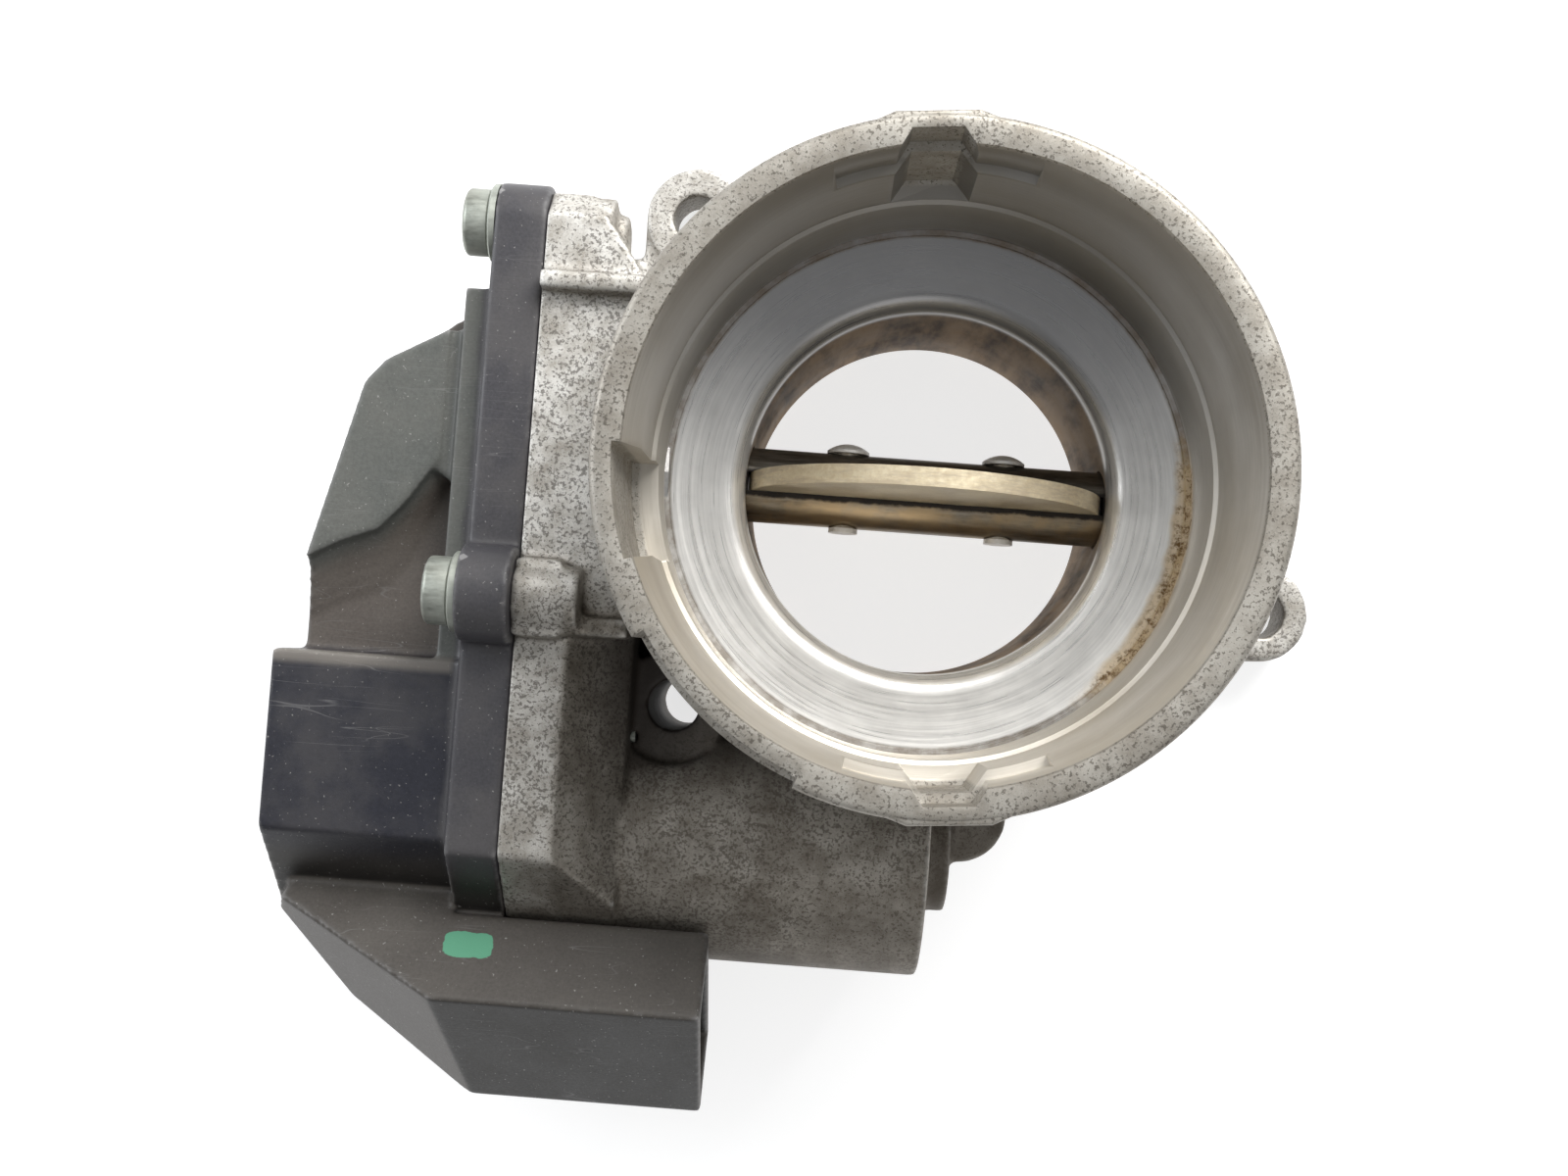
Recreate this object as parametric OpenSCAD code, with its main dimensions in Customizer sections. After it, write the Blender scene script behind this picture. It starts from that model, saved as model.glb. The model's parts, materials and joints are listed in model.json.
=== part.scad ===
// Drive-by-wire throttle body: a die-cast housing with an inlet socket, a throttle plate on a
// cross shaft, and a motor with a two-stage gear train behind a moulded gear cover.
// Origin: centre of the throttle bore on the manifold face. +Z runs up the bore to the inlet
// socket and +X along the throttle shaft, away from the gear case. The throttle stands open.

/* [Throttle bore] */
// Diameter of the throttle bore
bore_d = 50; // [41:0.5:60]
// Wall of the casting round the bore
bore_wall = 5; // [4:0.5:8]
// Height of the machined shoulder round the mouth of the bore above the throttle shaft
shoulder_rise = 9.8; // [9:0.1:18]
// Radius of the bell mouth between bore and shoulder
mouth_r = 3; // [1.5:0.5:4]
// Height of the open plate's lower edge above the manifold face
plate_rise = 0.45; // [0.2:0.05:2]
// Diameter of the throttle shaft
shaft_d = 10.5; // [8.5:0.25:12.75]
// Thickness of the throttle plate
plate_t = 2.5; // [2:0.1:3.2]
// Lean of the open plate from the bore axis, in degrees
plate_lean = 1.5; // [0:0.5:3]
// Travel of the throttle from open to closed, in degrees
throttle_travel = 88; // [70:1:88]
// Distance between the two plate screws
plate_screw_pitch = 22; // [18:1:28]

/* [Inlet socket] */
// Bore of the inlet socket
socket_d = 73; // [70:0.5:88]
// Wall of the socket at its rim
socket_wall = 5.5; // [4.5:0.5:8]
// Height of the socket rim above the manifold face
rim_h = 72; // [66:1:88]
// Height of the lead-in taper at the rim
lead_h = 7; // [4:0.5:9]
// Widening of the socket over the lead-in taper
lead_w = 1.9; // [1:0.1:2.4]
// Turn of the locking pockets from the Y axis, in degrees
pocket_turn = 5; // [0:1:10]
// Depth of a locking pocket into the socket wall
pocket_depth = 3.8; // [2.5:0.1:4]
// Depth of the key slot into the socket wall
key_depth = 2.9; // [2:0.1:4]

/* [Manifold flange] */
// Thickness of the manifold flange
flange_t = 10; // [7:0.5:14]
// Diameter of the round part of the flange
flange_d = 76; // [72:1:92]
// Diameter of the three fixing holes
fixing_d = 7.1; // [6.4:0.1:8.5]
// Radius of an ear round its fixing hole
ear_r = 7.75; // [6.5:0.05:9]

/* [Gear case] */
// Distance from the bore wall to the inner face of the gear case's back wall
case_gap = 11; // [10:0.5:15]
// Depth of the gear case from its back wall to the cover joint
case_depth = 12; // [12:0.5:15]
// Wall of the gear case
case_wall = 3; // [2.6:0.1:4]
// Height of the top of the gear case above the throttle shaft
case_rise = 21.8; // [21.3:0.1:32]
// Height of the bottom of the gear case above the manifold face
case_bottom = 0.5; // [0:0.1:1]
// Reach of the gear case beyond the shaft, away from the motor
case_reach = 35.6; // [32:0.1:43]
// Diameter of a cover screw
cover_screw_d = 3.9; // [3:0.1:4.4]

/* [Gear cover] */
// Thickness of the cover's rim
cover_rim_t = 7; // [6:0.5:9]
// Wall of the moulded cover
cover_wall = 2.4; // [2:0.1:3]
// Depth of the electronics box beyond the cover's rim
box_depth = 25.2; // [22:0.5:30]
// Depth of the sensor bulge beyond the cover's rim
bulge_depth = 22.5; // [20:0.5:25]
// Turn of the connector about the motor's axis, in degrees
connector_turn = 52; // [50:1:58]
// Width of the connector shroud
connector_w = 28; // [24:0.5:33]
// Height of the connector shroud
connector_h = 13.2; // [12:0.2:16]
// Reach of the connector shroud beyond the cover joint
connector_reach = 28; // [24:0.5:33]
// Number of connector pins
pin_count = 6; // [4:1:6]

/* [Gears] */
// Tooth size of the first pair, motor pinion and large wheel
first_module = 0.8; // [0.75:0.05:0.8]
// Teeth of the motor pinion
pinion_teeth = 15; // [13:1:16]
// Teeth of the large intermediate wheel
wheel_teeth = 47; // [44:1:47]
// Tooth size of the second pair, small wheel and sector
second_module = 1; // [0.9:0.05:1]
// Teeth of the small intermediate wheel
small_teeth = 17; // [14:1:18]
// Teeth of the sector, counted over a full turn
sector_teeth = 34; // [31:1:34]
// Pressure angle of the teeth, in degrees
pressure_angle = 25; // [20:1:25]
// Drop of the intermediate pin below the throttle shaft
idler_drop = 1.5; // [-2.8:0.1:1.7]
// Diameter of the intermediate pin
idler_pin_d = 5; // [4:0.25:6]

/* [Motor] */
// Drop of the motor axis below the throttle shaft
motor_drop = 3.2; // [-1.8:0.1:4.2]
// Diameter of the motor can
can_d = 27.5; // [24:0.5:28]
// Length of the motor can
can_l = 36; // [30:1:42]
// Wall of the cast tube round the motor
tube_wall = 3.2; // [2.5:0.1:4]
// Diameter of the motor shaft
rotor_shaft_d = 3.17; // [2.3:0.01:4]

/* [Hidden] */
$fn = 96;

// Clearances
running_gap = 0.04;      // radial, shaft in bearing or gear on pin
seat_gap = 0.02;         // radial, piece held in its seat
plate_gap = 0.25;        // radial, plate in bore
part_gap = 0.3;          // between pieces that pass or face each other
tooth_backlash = 0.12;   // along the pitch circle, taken from every tooth
centre_slack = 0.05;     // added to each gear centre distance
cut = 0.01;              // overshoot of a cutting tool

// Throttle
bore_r = bore_d / 2;
body_r = bore_r + bore_wall;
shaft_r = shaft_d / 2;
plate_r = bore_r - plate_gap;
shaft_z = plate_rise + plate_r;
shoulder_h = shaft_z + shoulder_rise;
slot_w = plate_t + 2 * running_gap;
bearing_wall = 1.8;
bearing_r = shaft_r + bearing_wall;
seal_l = 2.6;
seal_start = bore_r + 1.2;
seal_end = seal_start + seal_l;
drive_bearing_l = 9;
idle_bearing_l = 7;
boss_r = bearing_r + 2;
plug_t = 1.5;
idle_boss_end = seal_end + part_gap + idle_bearing_l + 2 * plug_t;
plate_screw_r = 1.75;
plate_head_r = 3;
plate_head_t = 1.5;

// Inlet socket
socket_r = socket_d / 2;
rim_r = socket_r + socket_wall;
mouth_land_r = socket_r - 1.3;
mouth_step = 0.6;
seat_step = 0.6;
seat_low = shaft_z + plate_r + 0.65;
cone_h = rim_r - body_r;
cone_top = shoulder_h + 2;
ledge_drop = 6.6;
crown_half = 19.3;
crown_depth = 1.3;
trap_flat_half = 4.45;
trap_base_half = 9;
low_pocket_depth = pocket_depth - 1.2;
key_from = 180;
key_to = 200.7;
key_floor = shoulder_h + 10.5;
bump_h = 0.6;
relief_from = 213;
relief_to = 249;
relief_depth = 1.6;
relief_h = 14;
rim_chamfer = 0.8;

// Gear case; x runs from the joint with the cover to the back wall
back_x = -(body_r + case_gap);
joint_x = back_x - case_depth;
cover_x = joint_x - cover_rim_t;
case_top = shaft_z + case_rise;

// Gear train
sector_r = second_module * sector_teeth / 2;
small_r = second_module * small_teeth / 2;
wheel_r = first_module * wheel_teeth / 2;
pinion_r = first_module * pinion_teeth / 2;
second_centre = sector_r + small_r + centre_slack;
first_centre = wheel_r + pinion_r + centre_slack;
idler_z = shaft_z - idler_drop;
motor_z = shaft_z - motor_drop;
motor_rise = motor_z - idler_z;
idler_y = -sqrt(second_centre * second_centre - idler_drop * idler_drop);
motor_y = idler_y - sqrt(first_centre * first_centre - motor_rise * motor_rise);
sector_dir = atan2(-idler_drop, idler_y);
motor_dir = atan2(motor_rise, motor_y - idler_y);

// Motor
can_r = can_d / 2;
can_wall = 1;
motor_bore_r = can_r + part_gap;
tube_r = motor_bore_r + tube_wall;
mount_t = 1;
end_cap_t = 1.8;
can_x = back_x + end_cap_t;
can_end_x = can_x + can_l;
rear_boss_r = 5;
rear_boss_l = 2.5;
wave_spring_t = 1.6;
tube_end_x = can_end_x + rear_boss_l + part_gap + 4.2;
motor_screw_r = 1.5;
motor_screw_depth = 4;
motor_screw_ring = motor_bore_r + 2.9;
motor_screw_dirs = [-45, 35];
rotor_r = rotor_shaft_d / 2;
field_magnet_t = 1.8;
core_r = can_r - can_wall - field_magnet_t - part_gap - 0.1;
core_x = can_x + 12.5;
core_l = 16;
slot_r = (core_r - rotor_r - 1.405) / 3.15;
slot_ring = core_r - slot_r - 2;
brush_outer = can_r - can_wall - 4.75;
commutator_x = can_x + 4.6;
commutator_l = 4.4;
commutator_r = 3.6;
bush_r = 4;
bush_l = 3.2;

// Positions of the gears along the shaft
sector_x = back_x - mount_t - 0.9;
sector_t = 5;
wheel_x = sector_x - sector_t - 0.9;
wheel_t = 2.8;
sector_hub_r = bearing_r + 1;
sector_hub_l = 1.4;
shaft_drive_end = sector_x - sector_t + 0.5;
magnet_cup_r = min(shaft_r + 0.15, second_centre - wheel_r - first_module - part_gap);
magnet_cup_l = 4.6;
magnet_r = magnet_cup_r - 1.4;
magnet_t = 2;
magnet_face = sector_x - sector_t - magnet_cup_l;
pin_post_end = cover_x + 3.4;

// Return spring
spring_wire_r = 0.75;
spring_mean_r = boss_r + part_gap + spring_wire_r + 0.3;
spring_pocket_r = spring_mean_r + spring_wire_r + 0.6;
spring_pocket_l = 7.5;
spring_turns = 3;
spring_steps = 20;
spring_sides = 8;

// Outline of the gear case and the cover in the YZ plane, and its slant beside the connector
slant = [-sin(connector_turn), cos(connector_turn)];
slant_reach = tube_r + 0.1;
case_low_y = motor_y - tube_r - 0.6;
slant_top_y = motor_y + ((case_top - motor_z) * slant[1] - slant_reach) / -slant[0];
slant_low_z = motor_z + (slant_reach + slant[0] * (motor_y - case_low_y)) / slant[1];
corner = 3.5;
back_bevel = 8;
bevel_y = idler_y + 3.2;
far_rib_y = case_reach - 12.7;
near_rib_y = idler_y + 3.5;
rib_half = 1.3;
rib_rise = 2.8;
bevel_from = [back_x + case_wall, far_rib_y - 0.4];
bevel_to = [joint_x + 5.5, case_reach];
outline = [
    [case_reach, case_bottom + corner], [case_reach, case_top - corner],
    [case_reach - corner, case_top], [slant_top_y, case_top],
    [case_low_y, slant_low_z], [case_low_y, case_bottom + corner + 2],
    [case_low_y + corner + 2, case_bottom], [case_reach - corner, case_bottom]];

// Cover screws, as [y, z]
screw_r = cover_screw_d / 2;
screw_boss_r = screw_r + 2.4;
washer_r = 5.3;
washer_t = 1;
head_r = 4.5;
head_t = 3.6;
socket_af_r = 2.4;
lug_r = washer_r + 1.1;
screw_grip = 7;
screw_hole_l = screw_grip + 1;
boss_l = screw_hole_l + 0.6;
seal_outer_edge = 0.95;
seal_inner_edge = 2.05;
screw_inset = seal_inner_edge + screw_r + 0.4;
well_r = washer_r + part_gap + cover_wall;
cover_screw_at = [
    [case_reach - screw_inset, case_top - screw_inset - 1.1], [idler_y + 6.8, case_top + 1.6],
    [case_reach - screw_inset - 1, case_bottom + screw_inset + 2.2],
    [12, case_bottom + screw_inset + 1.4],
    [case_low_y + screw_inset + 2, case_bottom + screw_inset + 3]];

// Fixing holes in the manifold flange, as [x, y]
ear_a = [-36.1, 40.8];
ear_b = [52, -12.4];
ear_c = [-32.5, motor_y + motor_bore_r + 1 + fixing_d / 2];
ear_c_h = 33;
web_inset = 0.1;

// Connector
shroud_gap = 0.9;
shroud_low = tube_r + shroud_gap;
shroud_top_y = 4.8;
shroud_wall = 1.8;
shroud_depth = 17;
pin_w = 0.8;
pin_pitch = 3.5;
pin_tip = 8;
pin_x = joint_x + connector_reach - pin_tip;
pin_root_x = cover_x - 4.5;

// Cylinder along X
module xcyl(x0, x1, r, y = 0, z = 0)
    translate([x0, y, z]) rotate([0, 90, 0]) cylinder(h = x1 - x0, r = r);

// Slab whose outline is drawn in the YZ plane
module yz_slab(x0, x1)
    translate([x0, 0, 0]) rotate([90, 0, 90]) linear_extrude(x1 - x0) children();

// Slab whose outline is drawn in the XY plane
module xy_slab(z0, z1)
    translate([0, 0, z0]) linear_extrude(z1 - z0) children();

// Box between two corners
module block(a, b)
    translate(a) cube(b - a);

// Unit vector
function unit(v) = v / norm(v);

// Outline moved inwards by t
function inset(p, t) = [for (i = [0 : len(p) - 1])
    let (
        a = p[(i + len(p) - 1) % len(p)],
        b = p[i],
        c = p[(i + 1) % len(p)],
        u = unit(b - a),
        v = unit(c - b),
        m = [-u[1], u[0]],
        n = [-v[1], v[0]])
    b + (m + n) * t / (1 + m * n)];

// Placement whose origin is p and whose Z axis is the unit vector n
function plane_frame(p, n) =
    let (
        u = unit(cross(n, [0, 0, 1])),
        v = cross(n, u))
    [[u[0], v[0], n[0], p[0]], [u[1], v[1], n[1], p[1]], [u[2], v[2], n[2], p[2]], [0, 0, 0, 1]];

// Point on a circle, angle in degrees
function polar(r, a) = [r * cos(a), r * sin(a)];

// Ring sector in the plane, from angle a to b
module sector_shape(r, a, b)
    polygon(concat([[0, 0]], [for (i = [0 : 12]) polar(r, a + (b - a) * i / 12)]));

// Children placed round the motor axis, turned with the connector: +Z points away from the motor
module at_connector()
    translate([0, motor_y, motor_z]) rotate([connector_turn, 0, 0]) children();

// Children at each cover screw
module each_cover_screw()
    for (p = cover_screw_at) translate([0, p[0], p[1]]) children();

// Children at the throttle shaft, turned with the open plate
module on_shaft()
    translate([0, 0, shaft_z]) rotate([-plate_lean, 0, 0]) children();

// Involute function, in degrees
function inv(a) = tan(a) * 180 / PI - a;

// Half angle of a tooth at radius r
function tooth_half(r, rp, n) =
    let (
        rb = rp * cos(pressure_angle),
        a = acos(min(1, rb / max(r, rb))))
    90 / n - tooth_backlash * 90 / (PI * rp) + inv(pressure_angle) - inv(a);

// Outline of a full gear of module m with n teeth, tooth 0 at angle start
function gear_outline(m, n, start) =
    let (
        rp = m * n / 2,
        root = rp - 1.2 * m,
        base = max(root + 0.05, rp * cos(pressure_angle)),
        radii = [root, base, (base + rp) / 2, rp, rp + m / 2, rp + m])
    [for (i = [0 : n - 1], side = [-1, 1], k = [0 : len(radii) - 1])
        let (
            j = side < 0 ? k : len(radii) - 1 - k,
            a = start + i * 360 / n + side * tooth_half(radii[j], rp, n))
        polar(radii[j], a)];

module gear(m, n, start, x0, x1)
    yz_slab(x0, x1) polygon(gear_outline(m, n, start));

// Bore body, flange disc and inlet socket, as one turned shape
module turned_body()
    rotate_extrude() polygon([
        [0, 0], [flange_d / 2, 0], [flange_d / 2, flange_t], [body_r, flange_t],
        [body_r, cone_top - cone_h], [rim_r, cone_top], [rim_r, rim_h - rim_chamfer],
        [rim_r - rim_chamfer, rim_h], [0, rim_h]]);

// Everything that is bored out along the throttle axis
module turned_bore() {
    translate([0, 0, -cut]) cylinder(h = rim_h, r = bore_r);
    rotate_extrude() difference() {
        square([bore_r + mouth_r, shoulder_h]);
        translate([bore_r + mouth_r, shoulder_h - mouth_r]) circle(r = mouth_r);
        square([bore_r + mouth_r + cut, shoulder_h - mouth_r]);
    }
    translate([0, 0, shoulder_h]) cylinder(h = rim_h, r = mouth_land_r);
    translate([0, 0, shoulder_h + mouth_step]) cylinder(h = rim_h, r = socket_r - seat_step);
    translate([0, 0, seat_low]) cylinder(h = rim_h, r = socket_r);
    translate([0, 0, rim_h - lead_h])
        cylinder(h = lead_h + cut, r1 = socket_r, r2 = socket_r + lead_w);
}

// Crown-shaped locking pocket at angle a, and the lower pocket under its ledge
module locking_pocket(a) {
    top_r = socket_r + pocket_depth;
    low_r = socket_r + low_pocket_depth;
    wide_r = socket_r + crown_depth;
    rotate([0, 0, a]) {
        xy_slab(rim_h - ledge_drop, rim_h + 1) {
            intersection() {
                circle(r = wide_r);
                sector_shape(rim_r + 5, -crown_half, crown_half);
            }
            polygon([
                [0, 0], polar(socket_r, -trap_base_half), polar(top_r, -trap_flat_half),
                polar(top_r, trap_flat_half), polar(socket_r, trap_base_half)]);
        }
        xy_slab(seat_low + 0.4, rim_h)
            polygon([
                [0, 0], polar(socket_r, -trap_base_half + 1), polar(low_r, -trap_flat_half),
                polar(low_r, trap_flat_half), polar(socket_r, trap_base_half - 1)]);
    }
}

module key_slot()
    xy_slab(key_floor, rim_h + 1) intersection() {
        circle(r = socket_r + key_depth);
        sector_shape(rim_r + 5, key_from, key_to);
    }

// Outward swelling of the rim behind a locking pocket
module rim_bump(a)
    rotate([0, 0, a]) xy_slab(cone_top + 0.5, rim_h - 0.3)
        polygon([
            polar(socket_r + pocket_depth, -trap_base_half - 5), polar(rim_r - 0.2, -12),
            polar(rim_r + bump_h, -trap_flat_half - 2.4),
            polar(rim_r + bump_h, trap_flat_half + 2.4),
            polar(rim_r - 0.2, 12), polar(socket_r + pocket_depth, trap_base_half + 5)]);

module rim_relief()
    xy_slab(rim_h - relief_h, rim_h + 1) difference() {
        sector_shape(rim_r + 5, relief_from, relief_to);
        circle(r = rim_r - relief_depth);
    }

// Ear round a fixing hole, webbed to the flange disc
module ear(p, r, h) {
    a = atan2(p[1], p[0]);
    translate([p[0], p[1], 0]) cylinder(h = h, r = r);
    xy_slab(0, min(h, flange_t)) polygon([
        p + polar(r - web_inset, a - 90), p + polar(r - web_inset, a + 90),
        polar(flange_d / 2 - 0.6, a + 20), polar(flange_d / 2 - 0.6, a - 20)]);
}

module fixing_hole(p, h)
    translate([p[0], p[1], -1]) cylinder(h = h + 40, r = fixing_d / 2);

// Wedge that bevels the top edge of the case's back wall beside the motor, moved inwards by t
module bevel_wedge(t)
    translate([0, bevel_y, 0]) rotate([90, 0, 0]) linear_extrude(bevel_y - case_low_y + 1)
        polygon([
            [back_x + case_wall + 1, case_top - back_bevel - 1 - t * sqrt(2)],
            [back_x + case_wall + 1, case_top + 1],
            [back_x + case_wall - back_bevel - 1 - t * sqrt(2), case_top + 1]]);

// Wedge that takes the far back corner off the case, moved inwards by t
module corner_wedge(t) {
    along = unit(bevel_to - bevel_from);
    out = [along[1], -along[0]];
    xy_slab(case_bottom - 1, case_top + 1) polygon([
        bevel_from - 20 * along - t * out, bevel_to + 20 * along - t * out,
        bevel_to + 20 * along + 30 * out, bevel_from - 20 * along + 30 * out]);
}

module case_outer() {
    difference() {
        yz_slab(joint_x, back_x + case_wall) polygon(outline);
        bevel_wedge(0);
        corner_wedge(0);
    }
    // shelf between the case and the socket
    difference() {
        block([back_x, near_rib_y, shoulder_h], [-body_r + 2, far_rib_y, case_top]);
        translate([0, 0, shoulder_h - 1]) cylinder(h = case_top, r = socket_r + 1.5);
    }
    // two ribs that run from the joint face to the socket
    for (y = [far_rib_y, near_rib_y])
        block([joint_x, y - rib_half, case_top - 5],
            [-socket_r - 1.5, y + rib_half, case_top + rib_rise]);
    each_cover_screw() xcyl(joint_x, joint_x + boss_l, screw_boss_r);
    block([joint_x, cover_screw_at[1][0] - 5.2, case_top - 8],
        [joint_x + 6, cover_screw_at[1][0] + 5.2, case_top + 3.6]);
    xcyl(joint_x, joint_x + 10.4, screw_boss_r - 0.9, cover_screw_at[0][0] - 1,
        cover_screw_at[0][1] - 1);
}

module case_inner()
    difference() {
        yz_slab(joint_x - 1, back_x) polygon(inset(outline, case_wall));
        bevel_wedge(case_wall);
        corner_wedge(case_wall);
        each_cover_screw() xcyl(joint_x - 1, back_x + 1, screw_boss_r);
    }

// Children at each motor screw
module each_motor_screw()
    for (a = motor_screw_dirs)
        translate([0, motor_y + motor_screw_ring * cos(a), motor_z + motor_screw_ring * sin(a)])
            children();

module housing_bosses() {
    // throttle shaft bosses and the wall of the spring pocket
    xcyl(back_x, -bore_r - 1, boss_r, 0, shaft_z);
    xcyl(back_x, -body_r + 1.5, spring_pocket_r + 2.4, 0, shaft_z);
    xcyl(bore_r + 1, idle_boss_end, boss_r + 1.2, 0, shaft_z);
    // intermediate pin boss
    xcyl(back_x, back_x + 7, idler_pin_d / 2 + 2.4, idler_y, idler_z);
    // motor tube, its closed end and the web that carries it
    xcyl(back_x, tube_end_x, tube_r, motor_y, motor_z);
    xcyl(tube_end_x - 1, tube_end_x + 3.4, 8, motor_y, motor_z);
    block([ear_c[0] + 8, motor_y + 6, case_bottom + 3.5],
        [tube_end_x - 1.5, -bore_r - 2, motor_z + 9]);
    // round lug beside the closed end of the tube
    translate([tube_end_x + 4.2, motor_y + 6.2, 0]) cylinder(h = motor_z + 5, r = 6.8);
    block([tube_end_x - 4, motor_y + 6, 0], [tube_end_x + 9, -bore_r - 2, motor_z + 5]);
    // bosses behind the motor screws
    each_motor_screw() xcyl(back_x, back_x + motor_screw_depth + 1.2, motor_screw_r + 1.8);
}

module spring_pocket()
    difference() {
        xcyl(back_x - cut, back_x + spring_pocket_l, spring_pocket_r, 0, shaft_z);
        xcyl(back_x - 1, back_x + spring_pocket_l + 1, boss_r, 0, shaft_z);
    }

module housing()
    color([0.72, 0.71, 0.68]) difference() {
        union() {
            turned_body();
            ear(ear_a, ear_r, flange_t);
            ear(ear_b, ear_r - 0.7, flange_t);
            ear(ear_c, ear_r, ear_c_h);
            block([ear_a[0] - ear_r, -10, 0], [-20, ear_a[1], flange_t - 1]);
            case_outer();
            housing_bosses();
            rim_bump(90 + pocket_turn);
            rim_bump(270 + pocket_turn);
        }
        turned_bore();
        locking_pocket(90 + pocket_turn);
        locking_pocket(270 + pocket_turn);
        key_slot();
        rim_relief();
        case_inner();
        spring_pocket();
        // shaft, bearing and seal seats
        xcyl(-body_r - case_gap - 1, idle_boss_end + 1, shaft_r + part_gap, 0, shaft_z);
        xcyl(-seal_end, -seal_start, bearing_r + seat_gap, 0, shaft_z);
        xcyl(back_x - cut, -seal_end + cut, bearing_r + seat_gap, 0, shaft_z);
        xcyl(seal_start, idle_boss_end + 1, bearing_r + seat_gap, 0, shaft_z);
        // motor, intermediate pin and screws
        xcyl(back_x - cut, tube_end_x - 3, motor_bore_r, motor_y, motor_z);
        xcyl(back_x - cut, back_x + 5.5, idler_pin_d / 2 + seat_gap, idler_y, idler_z);
        each_cover_screw() xcyl(joint_x - cut, joint_x + screw_hole_l, screw_r + seat_gap);
        each_motor_screw()
            xcyl(back_x - cut, back_x + motor_screw_depth, motor_screw_r + seat_gap);
        // groove for the cover seal
        yz_slab(joint_x - cut, joint_x + 1.4) seal_track(0.06);
        fixing_hole(ear_a, flange_t);
        fixing_hole(ear_b, flange_t);
        fixing_hole(ear_c, ear_c_h);
        // clears the fixing screw's head above the ear beside the motor
        intersection() {
            translate([ear_c[0], ear_c[1], ear_c_h]) cylinder(h = 9, r = ear_r + 0.4);
            block([back_x + case_wall, motor_y, ear_c_h], [0, 0, rim_h]);
        }
    }

// Track of the cover seal round the case, grown by g on each side
module seal_track(g)
    difference() {
        polygon(inset(outline, seal_outer_edge - g));
        polygon(inset(outline, seal_inner_edge + g));
    }

plateau_x = cover_x - 3.6;
plateau_inset = 3.4;
plateau_end = case_reach - 13.6;
box_x = cover_x - box_depth;
bulge_x = cover_x - bulge_depth;
box_from_y = idler_y - 2.2;

// Plan of the lower part of the sensor bulge
bulge_plan = [
    [cover_x, 21.5], [plateau_x - 2, 18], [bulge_x + 8.6, 11.8], [bulge_x + 6, 8.6],
    [bulge_x, -15.5], [bulge_x, box_from_y - 2], [cover_x, box_from_y - 2]];
// Plan of its raised pad
pad_plan = [
    [plateau_x - 2, 16.5], [bulge_x + 8.6, 11.8], [bulge_x + 6, 8.6], [bulge_x, -15.5],
    [bulge_x + 4.5, -13], [bulge_x + 9.5, -11], [bulge_x + 13, -7], [plateau_x - 2, -1]];
// Plan that trims the block behind the connector
block_plan = [
    [joint_x, box_from_y], [joint_x, motor_y - 42], [box_x + 28, motor_y - 39.4],
    [box_x + 9.2, motor_y - 26.4], [box_x + 0.6, motor_y - 13.2], [box_x + 4.2, motor_y - 6],
    [box_x + 4.2, box_from_y]];

// Raised middle of the cover, moved inwards by t
module plateau(x0, x1, t)
    intersection() {
        yz_slab(x0, x1) polygon(inset(outline, plateau_inset + t));
        block([x0 - 1, case_low_y - 1, -1], [x1 + 1, plateau_end - t, case_top + 1]);
    }

module cover_outer() {
    yz_slab(cover_x, joint_x) polygon(outline);
    plateau(plateau_x, cover_x + 1, 0);
    each_cover_screw() xcyl(cover_x, joint_x, washer_r + 0.2);
    xcyl(cover_x, joint_x, lug_r, cover_screw_at[1][0], cover_screw_at[1][1]);
    xy_slab(case_bottom + 4, case_top - 9) polygon(bulge_plan);
    xy_slab(case_bottom + 8, case_top - 4.5) polygon(pad_plan);
    // electronics box
    intersection() {
        yz_slab(box_x, cover_x) polygon(inset(outline, 2.6));
        block([box_x - 1, case_low_y - 1, 0], [cover_x + 1, box_from_y, case_top]);
    }
    connector_block();
    at_connector()
        block([joint_x - 2, shroud_top_y - connector_w, shroud_low],
            [joint_x + connector_reach, shroud_top_y, shroud_low + connector_h]);
}

// Slanting plane through three points of the block: its far top corner, the shroud's corner and
// the foot of the shroud
block_far = [box_x + 3.6, motor_y - 12, motor_z + 15.5];
block_near = [cover_x - 0.5, motor_y - 22.1, motor_z + 23];
block_foot = [cover_x + 3, motor_y - 38, motor_z + 3];
block_normal = unit(cross(block_foot - block_far, block_near - block_far));

module connector_block()
    intersection() {
        // everything behind the slanting plane
        multmatrix(plane_frame(block_far, block_normal)) block([-150, -150, -200], [150, 150, 0]);
        at_connector()
            block([box_x - 5, shroud_top_y - connector_w, 2],
                [joint_x, shroud_top_y, shroud_low + connector_h]);
        xy_slab(case_bottom + 3, case_top + 10) polygon(block_plan);
        union() {
            block([box_x - 5, motor_y - 60, 0], [cover_x, 0, case_top + 10]);
            at_connector()
                block([cover_x - 1, -60, shroud_low], [joint_x, 60, shroud_low + 60]);
        }
    }

module cover_inner() {
    difference() {
        cover_hollow();
        // walls round the wells of the cover screws
        each_cover_screw() xcyl(box_x, joint_x + 2, well_r);
    }
}

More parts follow.
